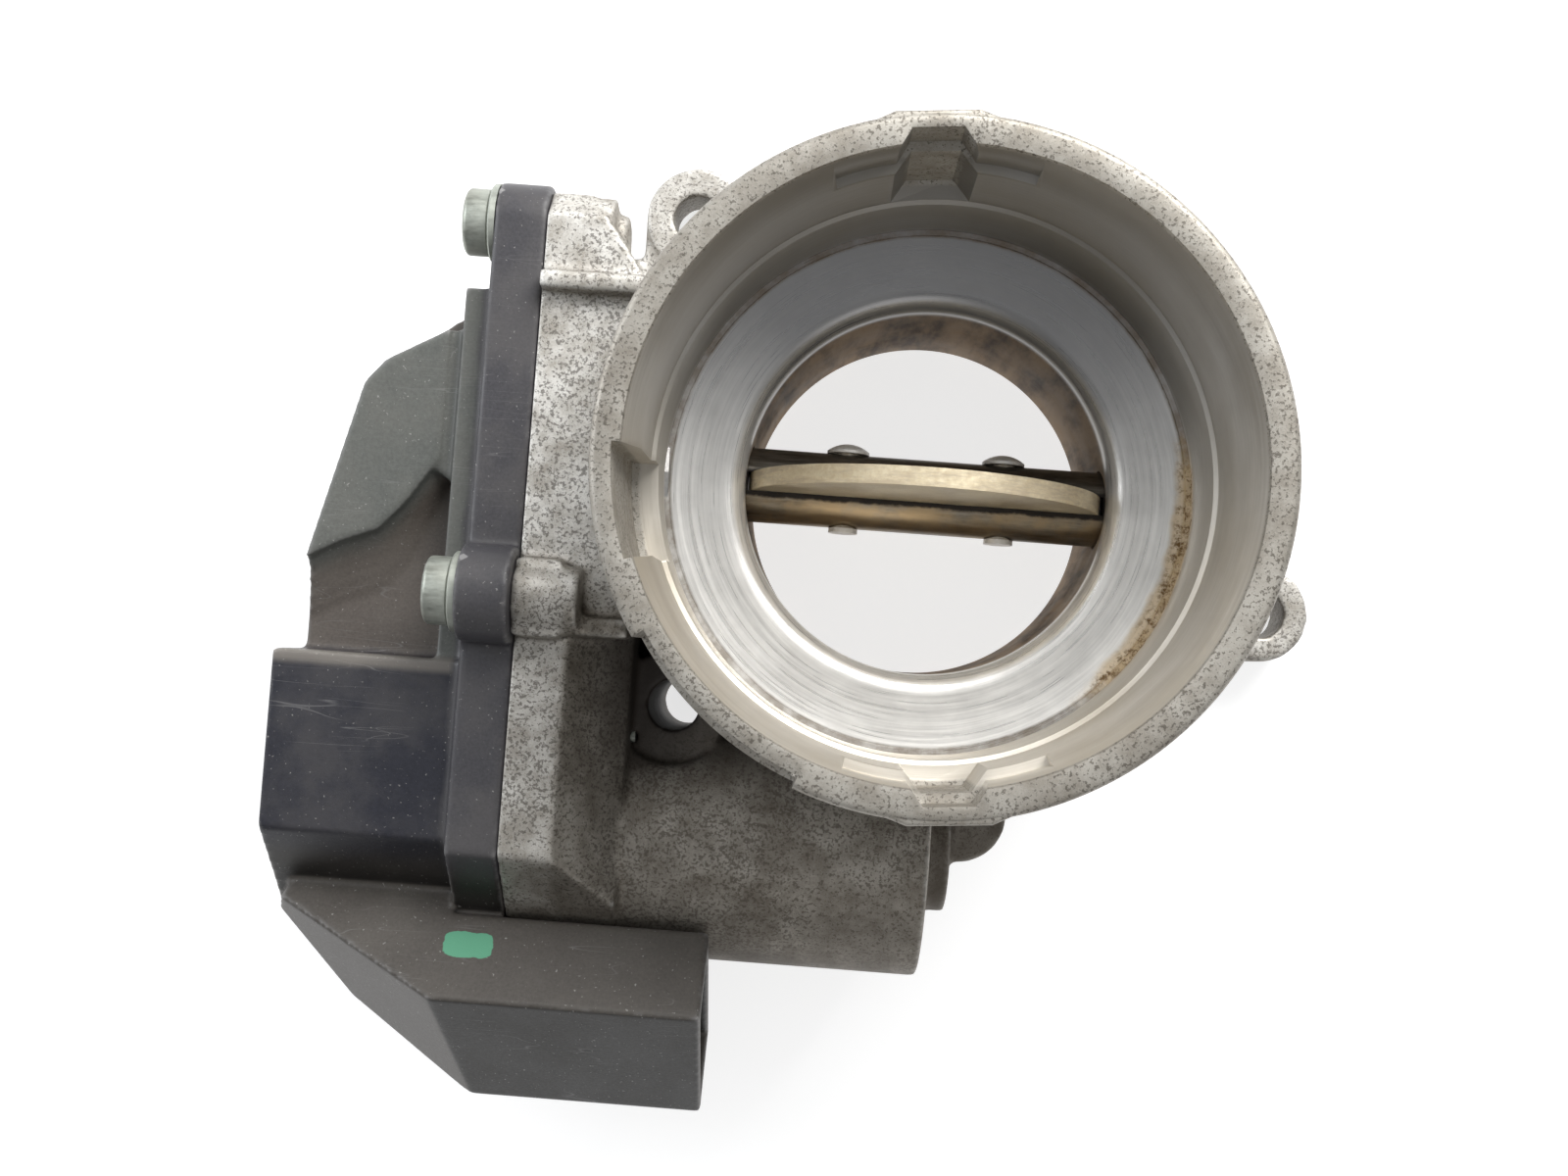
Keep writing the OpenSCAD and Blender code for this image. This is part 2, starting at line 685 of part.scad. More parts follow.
module cover_hollow() {
    // over the gears
    plateau(plateau_x + cover_wall, joint_x + 1, cover_wall);
    yz_slab(cover_x + cover_wall, joint_x + 1) polygon(inset(outline, plateau_inset + cover_wall));
    // in the sensor bulge
    block([bulge_x + 8, -15, case_bottom + 8], [cover_x + 1, 8, case_top - 9 - cover_wall]);
    block([bulge_x + cover_wall, box_from_y - 3, case_bottom + 8],
        [cover_x + 1, -14, case_top - 9 - cover_wall]);
    // in the electronics box
    intersection() {
        yz_slab(box_x + cover_wall, cover_x + 1) polygon(inset(outline, 2.6 + cover_wall));
        block([box_x, case_low_y, case_bottom + 5],
            [cover_x + 2, box_from_y - cover_wall, case_top]);
    }
}

module pin_channels(g)
    at_connector() for (i = [0 : pin_count - 1])
        translate([pin_root_x - g,
            shroud_top_y - connector_w / 2 + (i - (pin_count - 1) / 2) * pin_pitch - pin_w / 2 - g,
            shroud_low + connector_h / 2 - pin_w / 2 - g])
            cube([pin_x - pin_root_x + g, pin_w + 2 * g, pin_w + 2 * g]);

module gear_cover()
    color([0.2, 0.2, 0.21]) difference() {
        union() {
            difference() {
                cover_outer();
                cover_inner();
            }
            // post whose bore holds the free end of the intermediate pin
            xcyl(bulge_x + 1, pin_post_end, idler_pin_d / 2 + 1.8, idler_y, idler_z);
            // posts under the sensor board
            for (p = board_post_at) xcyl(bulge_x + 6, board_x - board_t, 2, p[0], p[1]);
        }
        xcyl(plateau_x + 2, pin_post_end + 1, idler_pin_d / 2 + running_gap, idler_y, idler_z);
        each_cover_screw() xcyl(cover_x - 30, joint_x + 1, screw_r + 0.25);
        each_cover_screw() xcyl(cover_x - 30, cover_x, washer_r + part_gap);
        // mouth of the connector
        at_connector()
            block([joint_x + connector_reach - shroud_depth,
                    shroud_top_y - connector_w + shroud_wall, shroud_low + shroud_wall],
                [joint_x + connector_reach + 1, shroud_top_y - shroud_wall,
                    shroud_low + connector_h - shroud_wall]);
        pin_channels(seat_gap);
    }

module cover_seal()
    color([0.1, 0.1, 0.1]) yz_slab(joint_x + 0.03, joint_x + 1.36) seal_track(0);

module cover_screws()
    color([0.66, 0.68, 0.62]) each_cover_screw() difference() {
        union() {
            xcyl(cover_x - washer_t, joint_x + screw_grip, screw_r);
            xcyl(cover_x - washer_t - head_t, cover_x - washer_t, head_r);
        }
        translate([cover_x - washer_t - head_t - cut, 0, 0]) rotate([0, 90, 0])
            cylinder(h = 2.2, r = socket_af_r, $fn = 6);
    }

module screw_washers()
    color([0.64, 0.67, 0.6]) each_cover_screw() difference() {
        xcyl(cover_x - washer_t, cover_x, washer_r);
        xcyl(cover_x - washer_t - 1, cover_x + 1, screw_r + seat_gap);
    }

module connector_pins()
    color([0.8, 0.78, 0.7]) pin_channels(0);

board_x = magnet_face - 3.4;
board_t = 1.6;
board_low = cover_screw_at[3][1] + well_r + 0.6;
board_post_at = [[-12.3, board_low + 3], [-12.3, case_top - 14.2]];
chip = [1.2, 6, 5];

module sensor_board()
    color([0.1, 0.35, 0.2]) difference() {
        block([board_x - board_t, -14.6, board_low], [board_x, 7.6, case_top - 11.8]);
        for (p = board_post_at) xcyl(board_x - 3, board_x + 1, 0.8, p[0], p[1]);
    }

module sensor_chip()
    color([0.12, 0.12, 0.12])
        block([board_x, -chip[1] / 2, shaft_z - chip[2] / 2],
            [board_x + chip[0], chip[1] / 2, shaft_z + chip[2] / 2]);

// Two strips in the electronics box that lead to the motor's terminals
module lead_frame()
    color([0.75, 0.5, 0.25]) for (s = [-1, 1])
        translate([0, motor_y + s * terminal_half, motor_z]) {
            block([cover_x - 14, -1.2, terminal_rise - 1.2],
                [terminal_tip + 4, 1.2, terminal_rise - 0.4]);
            block([cover_x - 14.8, -1.2, terminal_rise - 9],
                [cover_x - 14, 1.2, terminal_rise - 0.4]);
            block([box_x + cover_wall, -1.2, terminal_rise - 9.8],
                [cover_x - 14, 1.2, terminal_rise - 9]);
        }

module throttle_shaft()
    color([0.45, 0.42, 0.38]) difference() {
        xcyl(shaft_drive_end, seal_end + part_gap + idle_bearing_l, shaft_r, 0, shaft_z);
        on_shaft() block([-plate_r - 0.1, -slot_w / 2, -shaft_r - 1],
            [plate_r + 0.1, slot_w / 2, shaft_r + 1]);
        for (s = [-1, 1])
            on_shaft() translate([s * plate_screw_pitch / 2, shaft_r + 1, 0]) rotate([90, 0, 0])
                cylinder(h = shaft_d + 2, r = plate_screw_r + seat_gap);
    }

module throttle_plate()
    color([0.78, 0.7, 0.55]) on_shaft() difference() {
        translate([0, plate_t / 2, 0]) rotate([90, 0, 0]) cylinder(h = plate_t, r = plate_r, $fn = 128);
        for (s = [-1, 1])
            translate([s * plate_screw_pitch / 2, shaft_r, 0]) rotate([90, 0, 0])
                cylinder(h = shaft_d, r = plate_screw_r + seat_gap);
    }

module plate_screws()
    color([0.6, 0.58, 0.54]) for (s = [-1, 1])
        on_shaft() translate([s * plate_screw_pitch / 2, 0, 0]) rotate([-90, 0, 0]) {
            translate([0, 0, -shaft_r - 0.7]) cylinder(h = shaft_d + 1.2, r = plate_screw_r);
            translate([0, 0, -shaft_r - 0.7]) cylinder(h = 0.65, r = plate_screw_r + 0.3);
            intersection() {
                translate([0, 0, shaft_r + 0.02]) cylinder(h = plate_head_t, r = plate_head_r);
                translate([0, 0, shaft_r - 3.2]) sphere(r = 4.7);
            }
        }

module bearing_ring(x0, x1, r_in, r_out)
    difference() {
        xcyl(x0, x1, r_out, 0, shaft_z);
        xcyl(x0 - 1, x1 + 1, r_in, 0, shaft_z);
    }

module drive_side_bearing()
    color([0.7, 0.7, 0.72])
        bearing_ring(-seal_end - part_gap - drive_bearing_l, -seal_end - part_gap,
            shaft_r + running_gap, bearing_r);

module idle_side_bearing()
    color([0.7, 0.7, 0.72])
        bearing_ring(seal_end + part_gap, seal_end + part_gap + idle_bearing_l,
            shaft_r + running_gap, bearing_r);

module shaft_seals()
    color([0.12, 0.12, 0.12]) {
        bearing_ring(-seal_end, -seal_start, shaft_r + running_gap, bearing_r);
        bearing_ring(seal_start, seal_end, shaft_r + running_gap, bearing_r);
    }

// Cup pressed into the idle-side boss
module shaft_end_plug()
    color([0.68, 0.68, 0.66]) difference() {
        xcyl(idle_boss_end - 2 * plug_t, idle_boss_end - 0.4, bearing_r, 0, shaft_z);
        xcyl(idle_boss_end - 0.9, idle_boss_end, bearing_r - 1, 0, shaft_z);
    }

module sector_gear()
    color([0.85, 0.83, 0.76]) translate([0, 0, shaft_z]) difference() {
        union() {
            intersection() {
                gear(second_module, sector_teeth, sector_dir, sector_x - sector_t, sector_x);
                yz_slab(sector_x - sector_t, sector_x)
                    sector_shape(sector_r + 5, sector_dir - throttle_travel - 12, sector_dir + 12);
            }
            // web that carries the spring lug
            intersection() {
                xcyl(sector_x - sector_t, sector_x, spring_mean_r + 3);
                yz_slab(sector_x - sector_t, sector_x)
                    sector_shape(spring_mean_r + 9, -60, 90);
            }
            xcyl(sector_x - sector_t, sector_x + sector_hub_l, sector_hub_r);
            xcyl(magnet_face, sector_x - sector_t + 1, magnet_cup_r);
            rotate([-20, 0, 0]) xcyl(sector_x - 1, sector_x + sector_hub_l, 1.6, spring_mean_r, 0);
        }
        xcyl(shaft_drive_end, sector_x + sector_hub_l + 1, shaft_r);
        xcyl(magnet_face - 1, magnet_face + magnet_t, magnet_r);
    }

module sensor_magnet()
    color([0.3, 0.3, 0.32])
        xcyl(magnet_face, magnet_face + magnet_t, magnet_r, 0, shaft_z);

// Point k of ring i along the return spring's helix
function spring_point(i, k) =
    let (
        a = i * 360 / spring_steps,
        b = k * 360 / spring_sides,
        lift = spring_wire_r + 0.3,
        run = spring_pocket_l - 2 * lift,
        x = back_x + lift + run * i / (spring_turns * spring_steps) + spring_wire_r * sin(b),
        r = spring_mean_r + spring_wire_r * cos(b))
    [x, r * cos(a), shaft_z + r * sin(a)];

module return_spring() {
    last = spring_turns * spring_steps;
    color([0.55, 0.55, 0.56]) polyhedron(
        points = [for (i = [0 : last], k = [0 : spring_sides - 1]) spring_point(i, k)],
        faces = concat(
            [[for (k = [0 : spring_sides - 1]) k]],
            [for (i = [0 : last - 1], k = [0 : spring_sides - 1])
                let (a = i * spring_sides + k, b = i * spring_sides + (k + 1) % spring_sides)
                [b, a, a + spring_sides, b + spring_sides]],
            [[for (k = [spring_sides - 1 : -1 : 0]) last * spring_sides + k]]));
}

module intermediate_gear()
    color([0.88, 0.86, 0.8]) translate([0, idler_y, idler_z]) difference() {
        union() {
            gear(first_module, wheel_teeth, motor_dir, wheel_x - wheel_t, wheel_x);
            gear(second_module, small_teeth, sector_dir + 180 + 180 / small_teeth,
                wheel_x - 0.5, sector_x + 0.4);
            xcyl(pin_post_end + part_gap, back_x - part_gap, idler_pin_d / 2 + 1.8);
        }
        xcyl(pin_post_end - 1, back_x + 1, idler_pin_d / 2 + running_gap);
    }

module intermediate_pin()
    color([0.7, 0.7, 0.72])
        xcyl(plateau_x + 2.3, back_x + 5.2, idler_pin_d / 2, idler_y, idler_z);

module motor_pinion()
    color([0.75, 0.62, 0.35]) translate([0, motor_y, motor_z]) difference() {
        gear(first_module, pinion_teeth, motor_dir + 180 + 180 / pinion_teeth,
            wheel_x - wheel_t - 0.8, wheel_x + 0.3);
        xcyl(joint_x, back_x, rotor_r);
    }

terminal_half = 4.6;
terminal_rise = can_r - 3.35;
terminal_tip = joint_x + 1.5;

module motor_can()
    color([0.62, 0.62, 0.6]) translate([0, motor_y, motor_z]) difference() {
        union() {
            xcyl(can_x, can_end_x, can_r);
            xcyl(can_end_x - 1, can_end_x + rear_boss_l, rear_boss_r);
        }
        xcyl(can_x - 1, can_end_x - can_wall, can_r - can_wall);
        xcyl(can_end_x - can_wall - 1, can_end_x + rear_boss_l - 0.6, bush_r + seat_gap);
    }

module motor_end_cap()
    color([0.75, 0.72, 0.62]) translate([0, motor_y, motor_z]) difference() {
        union() {
            xcyl(back_x, can_x, can_r);
            xcyl(back_x, can_x + 9.4, can_r - can_wall - seat_gap);
        }
        xcyl(can_x + 3.6, can_x + 11, can_r - can_wall - 4.4);
        xcyl(back_x + 0.8, back_x + 0.9 + bush_l, bush_r + seat_gap);
        xcyl(back_x - 1, can_x + 11, rotor_r + part_gap);
        for (s = [-1, 1])
            block([back_x - 1, s * terminal_half - 1.2, terminal_rise - 0.4],
                [can_x + 3.7, s * terminal_half + 1.2, terminal_rise + 0.4]);
    }

// Steel plate that clamps the motor in the gear case
module motor_mount_plate()
    color([0.7, 0.7, 0.68]) translate([0, motor_y, motor_z]) difference() {
        union() {
            xcyl(back_x - mount_t, back_x, can_r - 1.5);
            for (a = motor_screw_dirs) rotate([a, 0, 0]) {
                xcyl(back_x - mount_t, back_x, 3.6, motor_screw_ring, 0);
                block([back_x - mount_t, 0, -3.6], [back_x, motor_screw_ring, 3.6]);
            }
        }
        xcyl(back_x - 2, back_x + 1, 3.2);
        for (a = motor_screw_dirs) rotate([a, 0, 0])
            xcyl(back_x - 2, back_x + 1, motor_screw_r + seat_gap, motor_screw_ring, 0);
        for (s = [-1, 1])
            block([back_x - 2, s * terminal_half - 1.8, terminal_rise - 1.2],
                [back_x + 1, s * terminal_half + 1.8, terminal_rise + 1.2]);
    }

module motor_screws()
    color([0.6, 0.6, 0.6]) each_motor_screw() {
        xcyl(back_x - mount_t, back_x + motor_screw_depth - 0.4, motor_screw_r);
        xcyl(back_x - mount_t - 1.6, back_x - mount_t, 2.7);
    }

module motor_terminals()
    color([0.8, 0.6, 0.3]) for (s = [-1, 1])
        translate([0, motor_y, motor_z])
            block([terminal_tip + 0.5, s * terminal_half - 1.2, terminal_rise - 0.4],
                [can_x + 3.6, s * terminal_half + 1.2, terminal_rise + 0.4]);

module motor_magnets()
    color([0.25, 0.25, 0.26]) translate([0, motor_y, motor_z]) for (s = [0, 180])
        rotate([s, 0, 0]) yz_slab(can_x + 10, can_end_x - 2.5) difference() {
            intersection() {
                circle(r = can_r - can_wall - seat_gap);
                sector_shape(can_r + 8, 30, 150);
            }
            circle(r = can_r - can_wall - field_magnet_t);
        }

module motor_bushes()
    color([0.7, 0.55, 0.3]) translate([0, motor_y, motor_z])
        for (x = [back_x + 0.9, can_end_x + rear_boss_l - 0.7 - bush_l]) difference() {
            xcyl(x, x + bush_l, bush_r);
            xcyl(x - 1, x + bush_l + 1, rotor_r + running_gap);
        }

module motor_brushes()
    color([0.15, 0.15, 0.15]) translate([0, motor_y, motor_z]) for (s = [-1, 1])
        block([commutator_x + 0.6, s > 0 ? commutator_r + 0.05 : -brush_outer, -1.6],
            [commutator_x + commutator_l - 0.6, s > 0 ? brush_outer : -commutator_r - 0.05, 1.6]);

// Wavy washer that presses the motor against its mounting plate
module motor_wave_spring()
    color([0.6, 0.6, 0.58]) translate([0, motor_y, motor_z]) difference() {
        xcyl(can_end_x + 0.03, can_end_x + wave_spring_t, can_r - 1);
        xcyl(can_end_x - 1, can_end_x + wave_spring_t + 1, can_r - 4.2);
    }

module armature_shaft()
    color([0.75, 0.75, 0.76])
        xcyl(wheel_x - wheel_t - 1.6, can_end_x + rear_boss_l - 0.9, rotor_r, motor_y, motor_z);

module armature_core()
    color([0.5, 0.5, 0.5]) translate([0, motor_y, motor_z]) difference() {
        xcyl(core_x, core_x + core_l, core_r);
        for (i = [0 : 4]) rotate([i * 72, 0, 0]) {
            xcyl(core_x - 1, core_x + core_l + 1, slot_r, slot_ring, 0);
            block([core_x - 1, core_r - 3, -0.6], [core_x + core_l + 1, core_r + 1, 0.6]);
        }
        xcyl(core_x - 1, core_x + core_l + 1, rotor_r);
    }

module armature_windings()
    color([0.72, 0.4, 0.2]) translate([0, motor_y, motor_z]) {
        for (x = [core_x - 2.2, core_x + core_l]) difference() {
            xcyl(x, x + 2.2, core_r - 1.6);
            xcyl(x - 1, x + 4, rotor_r + 0.4);
        }
        for (i = [0 : 4]) rotate([i * 72, 0, 0])
            xcyl(core_x - 0.5, core_x + core_l + 0.5, slot_r - 0.1, slot_ring, 0);
    }

module commutator()
    color([0.75, 0.5, 0.3]) translate([0, motor_y, motor_z]) difference() {
        xcyl(commutator_x, commutator_x + commutator_l, commutator_r);
        xcyl(commutator_x - 1, commutator_x + commutator_l + 1, rotor_r);
    }

housing();
gear_cover();
cover_seal();
cover_screws();
screw_washers();
connector_pins();
sensor_board();
sensor_chip();
lead_frame();
throttle_shaft();
throttle_plate();
plate_screws();
drive_side_bearing();
idle_side_bearing();
shaft_seals();
shaft_end_plug();
sector_gear();
sensor_magnet();
return_spring();
intermediate_gear();
intermediate_pin();
motor_can();
motor_end_cap();
motor_mount_plate();
motor_screws();
motor_terminals();
motor_magnets();
motor_bushes();
motor_brushes();
motor_wave_spring();
armature_shaft();
armature_core();
armature_windings();
commutator();
motor_pinion();
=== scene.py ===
import json
import math

import bpy
from mathutils import Matrix, Vector


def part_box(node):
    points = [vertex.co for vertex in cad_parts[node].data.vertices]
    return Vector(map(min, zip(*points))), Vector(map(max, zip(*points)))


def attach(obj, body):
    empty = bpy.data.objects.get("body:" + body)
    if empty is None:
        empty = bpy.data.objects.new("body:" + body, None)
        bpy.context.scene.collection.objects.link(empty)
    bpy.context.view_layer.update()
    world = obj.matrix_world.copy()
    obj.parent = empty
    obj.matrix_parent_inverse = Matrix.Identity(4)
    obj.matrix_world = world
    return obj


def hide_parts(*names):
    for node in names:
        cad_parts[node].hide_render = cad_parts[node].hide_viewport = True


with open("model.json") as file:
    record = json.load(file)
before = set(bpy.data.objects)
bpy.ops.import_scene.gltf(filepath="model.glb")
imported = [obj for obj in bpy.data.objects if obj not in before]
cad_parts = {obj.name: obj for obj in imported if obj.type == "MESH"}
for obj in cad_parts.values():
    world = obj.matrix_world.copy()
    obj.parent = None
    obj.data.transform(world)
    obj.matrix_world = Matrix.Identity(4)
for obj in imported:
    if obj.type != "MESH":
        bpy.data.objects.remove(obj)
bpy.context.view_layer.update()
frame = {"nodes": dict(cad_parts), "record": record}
nodes = frame["nodes"]
mm = 0.001
print("frame loaded:", len(nodes), "nodes")


# Small helpers for selecting, cutting and finishing a piece

def deselectAll():
    if bpy.context.object and bpy.context.object.mode != "OBJECT":
        bpy.ops.object.mode_set(mode="OBJECT")
    bpy.ops.object.select_all(action="DESELECT")


def activate(piece):
    deselectAll()
    piece.select_set(True)
    bpy.context.view_layer.objects.active = piece


def nameActive(name):
    piece = bpy.context.active_object
    piece.name = name
    piece.data.name = name
    return piece


def settle(piece):
    # place, turn and size go into the mesh, as on a CAD node
    activate(piece)
    bpy.ops.object.transform_apply(location=True, rotation=True, scale=True)


def modify(piece, kind, **values):
    activate(piece)
    modifier = piece.modifiers.new(kind.lower(), kind)
    for key, value in values.items():
        setattr(modifier, key, value)
    bpy.ops.object.modifier_apply(modifier=modifier.name)


def cleanUp(piece, distance=0.00001):
    activate(piece)
    bpy.ops.object.mode_set(mode="EDIT")
    bpy.ops.mesh.select_all(action="SELECT")
    bpy.ops.mesh.remove_doubles(threshold=distance)
    bpy.ops.mesh.normals_make_consistent(inside=False)
    bpy.ops.object.mode_set(mode="OBJECT")


def copyOf(nodeName, name):
    # a merged copy of a CAD node, to be worked on as a new piece
    source = nodes[nodeName]
    piece = bpy.data.objects.new(name, source.data.copy())
    bpy.context.scene.collection.objects.link(piece)
    piece.data.materials.clear()
    cleanUp(piece, 0.000002)
    return piece


def carve(piece, *tools, how="DIFFERENCE"):
    for tool in tools:
        modify(piece, "BOOLEAN", operation=how, solver="EXACT", object=tool)
        bpy.data.objects.remove(tool)


def join(pieces, name):
    deselectAll()
    for piece in pieces:
        piece.select_set(True)
    bpy.context.view_layer.objects.active = pieces[0]
    bpy.ops.object.join()
    return nameActive(name)


def chain(points, name):
    # a plane is merged to one vertex, which is then extruded from point to point
    deselectAll()
    bpy.ops.mesh.primitive_plane_add(size=mm, location=(0, 0, 0))
    bpy.ops.object.mode_set(mode="EDIT")
    bpy.ops.mesh.select_all(action="SELECT")
    bpy.ops.mesh.merge(type="CENTER")
    start = Vector(points[0])
    bpy.ops.transform.translate(value=start)
    for a, b in zip(points, points[1:]):
        step = Vector(b) - Vector(a)
        bpy.ops.mesh.extrude_vertices_move(TRANSFORM_OT_translate={"value": step})
    bpy.ops.object.mode_set(mode="OBJECT")
    return nameActive(name)


def lathe(profile, name, axis="Z", steps=192):
    # profile is a closed outline as (radius, height) in millimetres, spun about the given axis
    ring = list(profile) + [profile[0]]
    spots = [Vector((r, 0, h)) * mm for r, h in ring]
    piece = chain(spots, name)
    bpy.ops.object.mode_set(mode="EDIT")
    bpy.ops.mesh.select_all(action="SELECT")
    bpy.ops.mesh.remove_doubles(threshold=0.000001)
    bpy.ops.mesh.select_all(action="SELECT")
    bpy.ops.mesh.spin(steps=steps, angle=2 * math.pi, center=(0, 0, 0), axis=(0, 0, 1))
    bpy.ops.mesh.select_all(action="SELECT")
    bpy.ops.mesh.remove_doubles(threshold=0.000001)
    bpy.ops.mesh.normals_make_consistent(inside=False)
    bpy.ops.object.mode_set(mode="OBJECT")
    if axis == "X":
        piece.rotation_euler = (0, math.pi / 2, 0)
        settle(piece)
    return piece


def prism(outline, low, high, name):
    # outline is (x, y) in millimetres, low and high are heights
    spots = [Vector((x, y, low)) * mm for x, y in outline]
    piece = chain(spots, name)
    bpy.ops.object.mode_set(mode="EDIT")
    bpy.ops.mesh.select_all(action="SELECT")
    bpy.ops.mesh.edge_face_add()
    bpy.ops.mesh.extrude_region_move(
        TRANSFORM_OT_translate={"value": (0, 0, (high - low) * mm)})
    bpy.ops.mesh.select_all(action="SELECT")
    bpy.ops.mesh.normals_make_consistent(inside=False)
    bpy.ops.object.mode_set(mode="OBJECT")
    return piece


def polar(r, degrees):
    a = math.radians(degrees)
    return (r * math.cos(a), r * math.sin(a))


def arc(r, start, end, steps):
    return [polar(r, start + (end - start) * i / steps) for i in range(steps + 1)]


def rod(r, length, centre, name, sides=128, alongX=False):
    deselectAll()
    bpy.ops.mesh.primitive_cylinder_add(
        vertices=sides, radius=r * mm, depth=length * mm, location=Vector(centre) * mm,
        rotation=(0, math.pi / 2 if alongX else 0, 0))
    piece = nameActive(name)
    settle(piece)
    return piece


def islandBoxes(nodeName):
    # lowest and highest corner of each loose body in a CAD node
    source = nodes[nodeName].data
    parent = list(range(len(source.vertices)))

    def root(i):
        while parent[i] != i:
            parent[i] = parent[parent[i]]
            i = parent[i]
        return i

    seen = {}
    for i, vertex in enumerate(source.vertices):
        key = tuple(round(c * 200000) for c in vertex.co)
        parent[root(i)] = root(seen.setdefault(key, i))
    for edge in source.edges:
        a, b = edge.vertices
        parent[root(a)] = root(b)
    groups = {}
    for i, vertex in enumerate(source.vertices):
        groups.setdefault(root(i), []).append(vertex.co)
    found = []
    for spots in groups.values():
        low = Vector([min(s[k] for s in spots) for k in range(3)]) / mm
        high = Vector([max(s[k] for s in spots) for k in range(3)]) / mm
        found.append((low, high))
    found.sort(key=lambda pair: tuple(round(c, 3) for c in pair[0]))
    return found


def smoothShade(piece, degrees=35):
    activate(piece)
    bpy.ops.object.shade_smooth_by_angle(angle=math.radians(degrees))


def castSkin(piece, voxel, passes, triangles):
    # rounds every edge as a mould does: fine voxels, smoothed, then thinned
    modify(piece, "REMESH", mode="VOXEL", voxel_size=voxel * mm)
    modify(piece, "SMOOTH", factor=0.5, iterations=passes)
    count = sum(len(p.vertices) - 2 for p in piece.data.polygons)
    if count > triangles:
        modify(piece, "DECIMATE", ratio=triangles / count)
    activate(piece)
    bpy.ops.object.shade_smooth()
    print(piece.name, "skin:", count, "thinned to", len(piece.data.polygons))


def place(piece, body, slot, material, *replaced):
    piece.data.materials.clear()
    piece.data.materials.append(material)
    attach(piece, body)
    if replaced:
        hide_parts(*replaced)


# Shader building

def put(tree, kind, **values):
    # adds a node; a value is set on its property or input, a socket is linked
    node = tree.nodes.new("ShaderNode" + kind)
    for key, value in values.items():
        name = key.replace("_", " ")
        if hasattr(node, key) and key not in node.inputs:
            setattr(node, key, value)
            continue
        if key.startswith("in"):
            socket = node.inputs[int(key[2:])]
        else:
            socket = node.inputs[name]
        if isinstance(value, bpy.types.NodeSocket):
            tree.links.new(value, socket)
        else:
            socket.default_value = value
    return node


def maths(tree, operation, a, b=0.0, c=0.0, clamp=False):
    node = put(tree, "Math", operation=operation, use_clamp=clamp, in0=a, in1=b, in2=c)
    return node.outputs[0]


def times(tree, a, b):
    return maths(tree, "MULTIPLY", a, b)


def plus(tree, a, b):
    return maths(tree, "ADD", a, b)


def blendColour(tree, mask, a, b, how="MIX"):
    # a colour is a socket or three numbers
    a, b = (v if isinstance(v, bpy.types.NodeSocket) else (*v, 1) for v in (a, b))
    node = put(tree, "Mix", data_type="RGBA", blend_type=how, in0=mask, in6=a, in7=b)
    return node.outputs[2]


def blendValue(tree, mask, a, b):
    return put(tree, "Mix", data_type="FLOAT", in0=mask, in2=a, in3=b).outputs[0]


def layOver(tree, colour, top, mask, share):
    # the top colour shows where the mask is, by no more than its share
    return blendColour(tree, times(tree, mask, share), colour, top)


def splitVector(tree, vector):
    return put(tree, "SeparateXYZ", Vector=vector).outputs


def mapRange(tree, value, low, high, toLow=0.0, toHigh=1.0, smooth=False):
    node = put(tree, "MapRange", interpolation_type="SMOOTHSTEP" if smooth else "LINEAR",
               in0=value, in1=low, in2=high, in3=toLow, in4=toHigh)
    return node.outputs[0]


def noise(tree, vector, scale, detail=4.0, rough=0.55):
    node = put(tree, "TexNoise", Vector=vector, Scale=scale, Detail=detail, Roughness=rough)
    return node.outputs[0]


def newGroup(name, inputs, outputs):
    tree = bpy.data.node_groups.new(name, "ShaderNodeTree")
    for title, kind, value in inputs:
        socket = tree.interface.new_socket(name=title, in_out="INPUT", socket_type=kind)
        if value is not None:
            socket.default_value = value
    for title, kind in outputs:
        tree.interface.new_socket(name=title, in_out="OUTPUT", socket_type=kind)
    return tree, tree.nodes.new("NodeGroupInput").outputs, tree.nodes.new("NodeGroupOutput")


def giveOut(tree, out, **sockets):
    for title, socket in sockets.items():
        tree.links.new(socket, out.inputs[title])


def useGroup(tree, group, **values):
    node = tree.nodes.new("ShaderNodeGroup")
    node.node_tree = group
    for key, value in values.items():
        socket = node.inputs[key.replace("_", " ")]
        if isinstance(value, bpy.types.NodeSocket):
            tree.links.new(value, socket)
        else:
            socket.default_value = value
    return node.outputs


def makeCastGrain():
    # die-cast skin: pale grains, dark flecks and a pitted height
    tree, inn, out = newGroup(
        "castGrain",
        [("Vector", "NodeSocketVector", None), ("Grain", "NodeSocketFloat", 900.0),
         ("Flecks", "NodeSocketFloat", 0.5)],
        [("Tone", "NodeSocketFloat"), ("Fleck", "NodeSocketFloat"), ("Height", "NodeSocketFloat")])
    vector = inn["Vector"]
    grain = inn["Grain"]
    fine = noise(tree, vector, grain, 5, 0.7)
    coarse = noise(tree, vector, times(tree, grain, 0.22), 4, 0.6)
    spread = noise(tree, vector, times(tree, grain, 0.035), 3, 0.5)
    tone = plus(tree, times(tree, fine, 0.6), times(tree, coarse, 0.4))
    level = maths(tree, "SUBTRACT", 0.75, times(tree, inn["Flecks"], 0.3))
    level = maths(tree, "SUBTRACT", level, times(tree, spread, 0.18))
    fleck = mapRange(tree, fine, level, plus(tree, level, 0.05))
    pits = put(tree, "TexVoronoi", Vector=vector, Scale=times(tree, grain, 0.8))
    pit = mapRange(tree, pits.outputs[0], 0.0, 0.35)
    height = plus(tree, times(tree, fine, 0.7), times(tree, pit, 0.3))
    giveOut(tree, out, Tone=tone, Fleck=fleck, Height=height)
    return tree


